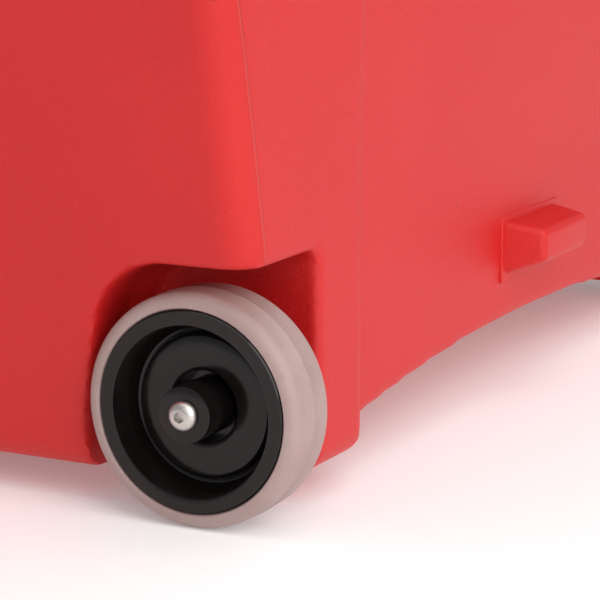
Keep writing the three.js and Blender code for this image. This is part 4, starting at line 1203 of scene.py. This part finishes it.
@dataclass
class Wheel:
    """One wheel: a grey tyre on a dished black hub, turning on a fixed bush and bolt."""

    plan: Plan
    side: Side
    width: float = 0.025
    tyre_inner: float = 0.0345
    shoulder: float = 0.0046
    ring_radius: float = 0.0342
    ring_lip: float = 0.0290
    dish: float = 0.0093
    web_radius: float = 0.0246
    bore: float = 0.0063
    core: float = 0.015
    counterbore: float = 0.012
    seat: float = 0.0163
    bush_proud: float = 0.0032
    head_radius: float = 0.0051

    @property
    def centre(self) -> Point:
        """The middle of the hub's outer face."""
        return (self.plan.axle_x, self.side.value * self.plan.half_track, self.plan.wheel_radius)

    def build(self) -> None:
        """Model the wheel and what holds it, and dress them."""
        word = self.side.word
        rides = f"wheel_{word}"
        dress(self.tyre(), rides, Finish.TYRE, f"tyre_{word}")
        dress(self.hub(), rides, Finish.HUB, f"hub_{word}")
        dress(self.bush(), "chest", Finish.HUB, f"axle_bush_{word}")
        dress(self.bolt(), "chest", Finish.STEEL, f"axle_bolt_{word}")
        dress(self.washer(), "chest", Finish.STEEL, f"axle_washer_{word}")

    def turned(self, name: str, profile: Profile, closed: bool = True, segments: int = 144) -> bpy.types.Object:
        """A turned piece of this wheel, from a profile of radius and place outward."""
        return turn(f"{name}_{self.side.word}", self.side.outward, self.centre, profile, closed, segments)

    def tyre(self) -> bpy.types.Object:
        """The tyre, with round shoulders and a thin mould line round its tread."""
        inner, tread, reach, width = self.tyre_inner, self.plan.wheel_radius - 0.0002, self.shoulder, self.width
        outer_corner = arc((tread - reach, -reach), reach, 90, 0, 9)
        inner_corner = [(radius, -width - along) for radius, along in reversed(outer_corner)]
        line = [(tread, -0.0118), (tread + 0.0002, -0.0121), (tread + 0.0002, -0.0125), (tread, -0.0128)]
        start = [(inner, -0.0006), (inner + 0.0005, 0.0)]
        end = [(inner + 0.0005, -width), (inner, -width + 0.0006)]
        return smooth(self.turned("tyre", [*start, *outer_corner, *line, *inner_corner, *end]), 45)

    def hub(self) -> bpy.types.Object:
        """The hub: a flat ring, a dished web, and a core with a counterbore for the bush."""
        lip, web, width = self.ring_lip, -self.dish, self.width
        profile = [
            (self.ring_radius, -0.0005),
            (self.ring_radius - 0.0005, 0.0),
            (lip + 0.0007, 0.0),
            (lip + 0.0002, -0.0002),
            (lip, -0.0007),
            (lip - 0.0010, web / 2),
            (lip - 0.0019, web - 0.0012),
            (lip - 0.0026, web - 0.0028),
            (lip - 0.0036, web - 0.0032),
            (self.web_radius + 0.0002, web - 0.0022),
            (self.web_radius - 0.0001, web - 0.0011),
            (self.web_radius - 0.0008, web - 0.0003),
            (self.web_radius - 0.0018, web),
            (self.counterbore + 0.0019, web),
            (self.counterbore + 0.0008, web - 0.0003),
            (self.counterbore + 0.0002, web - 0.0009),
            (self.counterbore, web - 0.002),
            (self.counterbore, -self.seat),
            (self.bore, -self.seat),
            (self.bore, -width),
            (self.core - 0.0006, -width),
            (self.core, -width + 0.0006),
            (self.core, web - 0.0056),
            (self.web_radius + 0.002, web - 0.0056),
            (lip, -width + 0.003),
            (lip, -width + 0.0005),
            (lip + 0.0005, -width),
            (self.ring_radius - 0.0005, -width),
            (self.ring_radius, -width + 0.0005),
        ]
        return smooth(self.turned("hub", profile), 32)

    def bush(self) -> bpy.types.Object:
        """The bush that the wheel turns on, with a wide cap."""
        cap, proud, seat = 0.0096, self.bush_proud, -self.seat + 0.0003
        profile = [
            (0.0033, proud),
            (cap - 0.0007, proud),
            (cap - 0.0002, proud - 0.0002),
            (cap, proud - 0.0008),
            (cap, seat),
            (0.006, seat),
            (0.006, -0.0297),
            (0.0033, -0.0297),
        ]
        return smooth(self.turned("axle_bush", profile, segments=96), 30)

    def bolt(self) -> bpy.types.Object:
        """The button-head bolt with its six-sided socket."""
        under = self.bush_proud + 0.0003
        radius = self.head_radius
        crown = [
            (radius - 0.0002, under),
            (radius, under + 0.0003),
            (radius, under + 0.0008),
            (radius * 0.965, under + 0.0014),
            (radius * 0.88, under + 0.0021),
            (radius * 0.75, under + 0.0027),
            (radius * 0.62, under + 0.0031),
            (radius * 0.53, under + 0.0033),
        ]
        piece = self.turned("axle_bolt", [(0.003, -0.044), (0.003, under), *crown], False, 96)
        x, y, z = self.centre
        mouth = (x, y + self.side.value * (under + 0.0012), z)
        socket = turn("socket", self.side.outward, mouth, [(0.0021, 0.0), (0.0021, 0.006)], segments=6)
        return smooth(cut(piece, socket), 28)

    def washer(self) -> bpy.types.Object:
        """The thrust washer behind the hub."""
        near, far = -self.width - 0.0006, -self.width - 0.0022
        profile = [(self.bore, near), (0.011, near), (0.011, far), (self.bore, far)]
        return soften(self.turned("axle_washer", profile, segments=64), 0.0003)


@dataclass
class Latch:
    """One rubber latch with a wide head, resting just off its keeper."""

    plan: Plan
    number: int
    body: str
    width: float = 0.019
    release: float = 3.2
    head_width: float = 0.048
    tab_width: float = 0.028

    def build(self) -> None:
        """Model the latch and its pin and dress them."""
        plan = self.plan
        x = plan.latch_xs[self.number - 1]
        y, z = plan.latch
        inner = -(plan.side_at(plan.rim_z) + plan.overhang) - 0.001
        low = plan.split_z + 0.0263
        top = low + 0.012
        outer = -plan.hardware_y + (top + 0.012 - z) * math.tan(math.radians(self.release))
        wide, head_wide, tab_wide = self.width / 2, self.head_width / 2, self.tab_width / 2
        strap = block("strap", (x - wide, inner - 0.006, z), (x + wide, inner - 0.0003, low + 0.002))
        head = block("head", (x - head_wide, outer, low), (x + head_wide, inner, top))
        tab = block("tab", (x - tab_wide, outer, top - 0.004), (x + tab_wide, outer + 0.0052, top + 0.012))
        chamfer(tab, 0.006, 6, lambda p: p.z > top)
        barrel = rod("barrel", Direction.PLUS_X, (x - wide, y, z), 0.0065, self.width)
        latch = soften(barrel, 0.0008)
        latch.name = f"rubber_latch_{self.number}"
        weld(latch, soften(strap, 0.0012), soften(head, 0.0022, steps=4), soften(tab, 0.0014, 40))
        cut(latch, rod("bore", Direction.PLUS_X, (x - 0.03, y, z), 0.0028, 0.06))
        with editing(latch):
            bpy.ops.mesh.select_all(action="SELECT")
            angle = -math.radians(self.release)
            bpy.ops.transform.rotate(value=angle, orient_axis="X", center_override=(x, y, z))
        dress(smooth(latch, 30), self.body, Finish.LATCH, f"latch_{self.number}")
        half = wide + 0.0063
        pin = rod(f"rivet_latch_{self.number}", Direction.PLUS_X, (x - half, y, z), 0.0025, 2 * half)
        dress(soften(pin, 0.0005), "chest", Finish.STEEL, f"latch_pin_{self.number}")


@dataclass
class Hinges:
    """The two hinge pins."""

    plan: Plan

    def build(self) -> None:
        """Model the pins and dress them."""
        y, z = self.plan.hinge
        for number, x in enumerate(self.plan.hinge_xs, 1):
            start = self.plan.knuckle_starts[0]
            pin = rod(f"hinge_rod_{number}", Direction.PLUS_X, (x + start, y, z), 0.0035, -2 * start)
            dress(soften(pin, 0.0006), "chest", Finish.STEEL, f"hinge_pin_{number}")


@dataclass
class TowHandle:
    """The folding tow handle: a bent tube with a rubber grip, hung from two brackets."""

    plan: Plan
    pivot_z: float = 0.330
    standoff: float = 0.024
    half_spread: float = 0.150
    arm: float = 0.230
    bend: float = 0.032
    tube: float = 0.009
    grip: float = 0.013
    grip_half: float = 0.090
    plate_half: float = 0.042
    bracket_half: float = 0.0148

    @property
    def x(self) -> float:
        """X of the handle."""
        return self.plan.rear_at(self.pivot_z) - self.standoff

    @property
    def plate_x(self) -> float:
        """X of the brackets' outer face."""
        return self.plan.rear_at(self.pivot_z + self.plate_half) - 0.006

    def build(self) -> None:
        """Model the handle and its brackets and dress them."""
        dress(self.frame(), "tow_handle", Finish.TUBE, "tow_handle_frame")
        dress(self.sleeve(), "tow_handle", Finish.GRIP, "tow_handle_grip")
        for side in Side:
            word = side.word
            y = side.value * self.half_spread
            dress(self.bracket(side, y), "chest", Finish.TRIM, f"tow_bracket_{word}")
            dress(self.pin(side, y), "chest", Finish.STEEL, f"tow_pin_{word}")
            for number, offset in enumerate((-0.030, 0.030), 1):
                screw = self.screw(f"bracket_screw_{word}_{number}", y, self.pivot_z + offset)
                dress(screw, "chest", Finish.STEEL, f"tow_bracket_screw_{word}_{number}")

    def frame(self) -> bpy.types.Object:
        """The bent tube, drawn down one arm, across and up the other."""
        half, bend = self.half_spread, self.bend
        low, top = self.pivot_z - self.arm, self.pivot_z + 0.011
        bpy.ops.object.select_all(action="DESELECT")
        start = (self.x, -half, top)
        bpy.ops.mesh.primitive_circle_add(vertices=40, radius=self.tube, location=start, fill_type="NGON")
        piece = settle(bpy.context.object)
        piece.name = "tow_tube"
        quarter = math.pi / 2
        with editing(piece):
            bpy.ops.mesh.select_all(action="SELECT")
            bpy.ops.mesh.extrude_region_move(TRANSFORM_OT_translate={"value": (0, 0, low + bend - top)})
            middle = (self.x, -half + bend, low + bend)
            bpy.ops.mesh.spin(steps=14, angle=-quarter, center=middle, axis=(1, 0, 0))
            bpy.ops.mesh.extrude_region_move(TRANSFORM_OT_translate={"value": (0, 2 * (half - bend), 0)})
            middle = (self.x, half - bend, low + bend)
            bpy.ops.mesh.spin(steps=14, angle=-quarter, center=middle, axis=(1, 0, 0))
            bpy.ops.mesh.extrude_region_move(TRANSFORM_OT_translate={"value": (0, 0, top - low - bend)})
            bpy.ops.mesh.select_all(action="SELECT")
            bpy.ops.mesh.remove_doubles(threshold=0.00001)
            bpy.ops.mesh.normals_make_consistent(inside=False)
        return soften(piece, 0.0022, 50, 4)

    def sleeve(self) -> bpy.types.Object:
        """The grip, ribbed for the fingers."""
        low, half = self.pivot_z - self.arm, self.grip_half
        bore = self.tube + 0.0002
        rim = [(self.grip - 0.002, half), (self.grip - 0.0006, half - 0.0006), (self.grip, half - 0.002)]
        end = [(bore, half), *rim]
        profile = [(radius, -along) for radius, along in end]
        ribs = 13
        for rib in range(ribs):
            start = -0.066 + rib * 0.0102
            profile += [(self.grip, start), (self.grip - 0.0010, start + 0.0010)]
            profile += [(self.grip - 0.0010, start + 0.0024), (self.grip, start + 0.0034)]
        piece = turn("grip_sleeve", Direction.PLUS_Y, (self.x, 0, low), [*profile, *reversed(end)], True, 64)
        return soften(piece, 0.0004, 25, 2)

    def bracket(self, side: Side, y: float) -> bpy.types.Object:
        """One bracket: a plate on the wall and two cheeks round the tube's eye."""
        wall, z, half, wide = self.plate_x, self.pivot_z, self.plate_half, self.bracket_half
        plate = block(f"bracket_{side.word}", (wall, y - wide, z - half), (wall + 0.030, y + wide, z + half))
        chamfer(plate, 0.006, 6, lambda p: abs(abs(p.z - z) - half) < MM and abs(abs(p.y - y) - wide) < MM)
        body = loft("wall", [self.plan.slice(z + step, 0.3, -0.0003) for step in (-0.1, -0.05, 0.065)])
        cut(plate, body)
        soften(plate, 0.0009, 40)
        cheeks = []
        for start in (y - wide, y + 0.0098):
            corner = (wall + 0.002, start + 0.005, z + 0.018)
            cheek = block("cheek", (self.x - 0.012, start, z - 0.018), corner)
            chamfer(cheek, 0.011, 10, lambda p: p.x < self.x)
            with editing(cheek):
                pick(cheek, lambda p: p.x > self.x + 0.011)
                bpy.ops.transform.resize(value=(1, 1, 1.35), center_override=(0, 0, z))
            cheeks.append(soften(cheek, 0.0008, 40))
        return smooth(weld(plate, *cheeks), 30)

    def pin(self, side: Side, y: float) -> bpy.types.Object:
        """One pivot pin with a domed head on its outer end."""
        shank = [(0.004, -self.bracket_half), (0.004, 0.0151)]
        crown = [(0.0066, 0.0151), (0.007, 0.0155), (0.0066, 0.0169), (0.0052, 0.0179), (0.003, 0.0181)]
        centre = (self.x, y, self.pivot_z)
        return smooth(turn(f"pivot_rod_{side.word}", side.outward, centre, [*shank, *crown], segments=48), 50)

    def screw(self, name: str, y: float, z: float) -> bpy.types.Object:
        """One bracket screw with a cross in its head."""
        face = (self.plate_x - 0.0003, y, z)
        shank = [(0.0025, -0.02), (0.0025, 0.0)]
        head = [(0.005, 0.0), (0.005, 0.0008), (0.0045, 0.0019), (0.0034, 0.0026), (0.002, 0.0028)]
        piece = turn(name, Direction.MINUS_X, face, [*shank, *head], segments=48)
        x = face[0]
        slots = [
            block("slot", (x - 0.005, y - 0.0028, z - 0.0005), (x - 0.0016, y + 0.0028, z + 0.0005)),
            block("slot", (x - 0.005, y - 0.0005, z - 0.0028), (x - 0.0016, y + 0.0005, z + 0.0028)),
        ]
        return smooth(cut(piece, *slots), 30)


@dataclass
class Feet:
    """The two rubber feet at the handle end, and their screws."""

    plan: Plan
    half: float = 0.023

    def build(self) -> None:
        """Model the feet and dress them."""
        plan = self.plan
        x = plan.rear_at(plan.base_z) + 0.034
        y = (plan.column_inner_y + plan.side_at(plan.base_z)) / 2
        for side in Side:
            places = [(x + offset, side.value * y) for offset in (-0.012, 0.012)]
            pad = self.pad(side, x, side.value * y)
            for number, (screw_x, screw_y) in enumerate(places, 1):
                cut(pad, rod("hole", Direction.PLUS_Z, (screw_x, screw_y, -0.01), 0.0056, 0.015))
                shank = [(0.0025, -0.022), (0.0025, 0.0)]
                profile = [*shank, (0.005, 0.0), (0.005, 0.0009), (0.0043, 0.0022), (0.0025, 0.0028)]
                name = f"foot_screw_head_{side.word}_{number}"
                screw = turn(name, Direction.MINUS_Z, (screw_x, screw_y, 0.0047), profile, segments=48)
                dress(smooth(screw, 30), "chest", Finish.STEEL, f"foot_screw_{side.word}_{number}")
            dress(smooth(pad, 30), "chest", Finish.FOOT, f"foot_{side.word}")

    def pad(self, side: Side, x: float, y: float) -> bpy.types.Object:
        """One foot, tapering down to a rounded sole."""
        half, top = self.half, self.plan.base_z - 0.0003
        sections = [
            Section(0.0, x - half + 0.0045, x + half - 0.0045, half - 0.0045, 0.0065),
            Section(0.0006, x - half + 0.0035, x + half - 0.0035, half - 0.0035, 0.0072),
            Section(0.002, x - half + 0.0027, x + half - 0.0027, half - 0.0027, 0.008),
            Section(top - 0.0006, x - half, x + half, half, 0.008),
            Section(top, x - half + 0.0006, x + half - 0.0006, half - 0.0006, 0.0074),
        ]
        piece = loft(f"foot_pad_{side.word}", sections)
        piece.location = (0, y, 0)
        return settle(piece)


@dataclass
class Drain:
    """The drain in the handle end: a liner through the wall, a ring seal and a plug with a finger grip."""

    plan: Plan
    y: float = -0.150
    z: float = 0.080
    flange: float = 0.020
    bore: float = 0.0088

    def build(self) -> None:
        """Model the drain and dress it."""
        plan = self.plan
        floor = plan.rear_at(self.z) + 0.018
        centre = (floor, self.y, self.z)
        tub_end = plan.rear_at(plan.rim_z) + plan.wall + (plan.rim_z - self.z - 0.012) * plan.tub_draft
        liner = [(self.bore, 0.0033), (self.flange - 0.0008, 0.0033), (self.flange, 0.0027), (self.flange, 0.0003)]
        liner += [(0.0117, 0.0003), (0.0117, floor - tub_end), (self.bore, floor - tub_end)]
        tube = turn("drain_tube", Direction.MINUS_X, centre, liner, True)
        dress(smooth(tube, 30), "chest", Finish.TRIM, "drain_liner")
        crown = [(0.0146, 0.0036), (0.015, 0.0041), (0.015, 0.0051), (0.0146, 0.0056)]
        seal = turn("drain_ring", Direction.MINUS_X, centre, [(self.bore, 0.0036), *crown, (self.bore, 0.0056)], True)
        dress(smooth(seal, 50), "drain_seal_carrier", Finish.SEAL, "drain_seal")
        dress(self.plug(centre), "drain_knob", Finish.TRIM, "drain_plug")

    def plug(self, centre: Point) -> bpy.types.Object:
        """The plug: a scalloped knob with a finger bar, on a shank."""
        seat = 0.0059
        shank = [(0.0085, -0.016), (0.0085, seat), (0.0166, seat), (0.017, seat + 0.0005)]
        knob = [(0.017, seat + 0.0042), (0.0164, seat + 0.005), (0.012, seat + 0.005)]
        piece = turn("drain_cap", Direction.MINUS_X, centre, [*shank, *knob])
        x, y, z = centre
        for step in range(12):
            angle = math.radians(30 * step + 15)
            place = (x - seat - 0.0004, y + 0.0185 * math.cos(angle), z + 0.0185 * math.sin(angle))
            cut(piece, rod("scallop", Direction.MINUS_X, place, 0.0026, 0.01, 24))
        bar = block("bar", (x - seat - 0.011, y - 0.014, z - 0.003), (x - seat - 0.004, y + 0.014, z + 0.003))
        chamfer(bar, 0.004, 6, lambda p: p.x < x - seat - 0.010)
        return smooth(weld(piece, soften(bar, 0.0008, 40)), 30)


@dataclass
class HiddenFill:
    """The pieces inside or underneath that keep their CAD shape, and the foam ports' plugs."""

    plan: Plan

    def build(self) -> None:
        """Dress the foam and inserts, and model the port plugs."""
        kept = {"body_foam": Finish.FOAM, "lid_foam": Finish.FOAM}
        kept |= {f"axle_insert_{side.word}": Finish.INSERT for side in Side}
        for node, finish in kept.items():
            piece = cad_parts[node]
            piece.data.materials.clear()
            piece.data.materials.append(finish.material())
        for name, body, z in (("body", "chest", 0.0317), ("lid", "lid", self.plan.split_z - 0.010)):
            plug = [(0.0115, -0.0047), (0.0115, 0.0003), (0.0158, 0.0003), (0.016, 0.0008)]
            rim = [(0.0156, 0.0029), (0.0148, 0.0033), (0.006, 0.0033)]
            disc = turn(f"{name}_port_disc", Direction.MINUS_Z, (0, 0, z), [*plug, *rim], segments=72)
            dress(smooth(disc, 30), body, Finish.TRIM, f"{name}_port_plug")


# ------------------------------------------------------------------ studio


@dataclass
class Studio:
    """A pale floor, soft lights and the camera."""

    plan: Plan
    azimuth: float = 27.24
    elevation: float = 11.63
    lens: float = 150.0
    camera_offset: Point = (0.3951, -0.9312, 0.2409)

    def build(self) -> None:
        """Set up the floor, the lights, the surroundings and the camera."""
        self.floor()
        self.light("key", (2.7, -1.25, 1.5), 2.6, 66)
        self.light("front", (1.2, -3.2, 2.2), 2.2, 8)
        self.light("top", (0.6, -0.2, 3.2), 3.4, 45)
        world = bpy.data.worlds.new("studio")
        bpy.context.scene.world = world
        world.use_nodes = True
        background = world.node_tree.nodes["Background"]
        background.inputs["Color"].default_value = (1.0, 1.0, 1.0, 1.0)
        background.inputs["Strength"].default_value = 0.42
        bpy.context.scene.view_settings.view_transform = "Standard"
        self.camera()

    def floor(self) -> None:
        """The pale floor."""
        bpy.ops.object.select_all(action="DESELECT")
        bpy.ops.mesh.primitive_plane_add(size=30, location=(0, 0, 0))
        piece = bpy.context.object
        piece.name = "floor"
        paint = Paint("pale_floor")
        paint.colour((0.93, 0.93, 0.93))
        paint.gloss(0.5, specular=0.3)
        paint.shader.inputs["Emission Color"].default_value = (1.0, 1.0, 1.0, 1.0)
        paint.shader.inputs["Emission Strength"].default_value = 0.18
        settle(piece).data.materials.append(paint.material)

    @staticmethod
    def light(name: str, place: Point, size: float, power: float) -> None:
        """One large square light that faces the cooler."""
        bpy.ops.object.select_all(action="DESELECT")
        bpy.ops.object.light_add(type="AREA", location=place)
        lamp = bpy.context.object
        lamp.name = name
        lamp.data.size = size
        lamp.data.energy = power
        aim = Vector((0.3, -0.1, 0.15)) - Vector(place)
        lamp.rotation_euler = aim.to_track_quat("-Z", "Y").to_euler()

    def camera(self) -> None:
        """The camera, low at the corner with the near wheel."""
        across, along, up = self.camera_offset
        bpy.ops.object.camera_add(location=(self.plan.axle_x + across, along, up))
        camera = bpy.context.object
        camera.name = "camera"
        camera.data.lens = self.lens
        camera.data.sensor_width = 36.0
        camera.data.clip_start = 0.01
        turn_by, drop = math.radians(self.azimuth), math.radians(self.elevation)
        back = Vector((math.sin(turn_by) * math.cos(drop), -math.cos(turn_by) * math.cos(drop), math.sin(drop)))
        camera.rotation_mode = "QUATERNION"
        camera.rotation_quaternion = (-back).to_track_quat("-Z", "Y")
        bpy.context.scene.camera = camera


def main() -> None:
    """Build the cooler's pieces in order, note the sizes and set up the studio."""
    logging.basicConfig(level=logging.INFO, format="%(name)s: %(message)s")
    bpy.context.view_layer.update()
    low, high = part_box("tyre_near")
    plan = Plan(axle_x=(low.x + high.x) / 2)
    Chest(plan).build()
    Lid(plan).build()
    for side in Side:
        Wheel(plan, side).build()
    Latch(plan, 1, "latch_left").build()
    Latch(plan, 2, "latch_right").build()
    Hinges(plan).build()
    TowHandle(plan).build()
    Feet(plan).build()
    Drain(plan).build()
    HiddenFill(plan).build()
    Studio(plan).build()


if __name__ == "__main__":
    main()
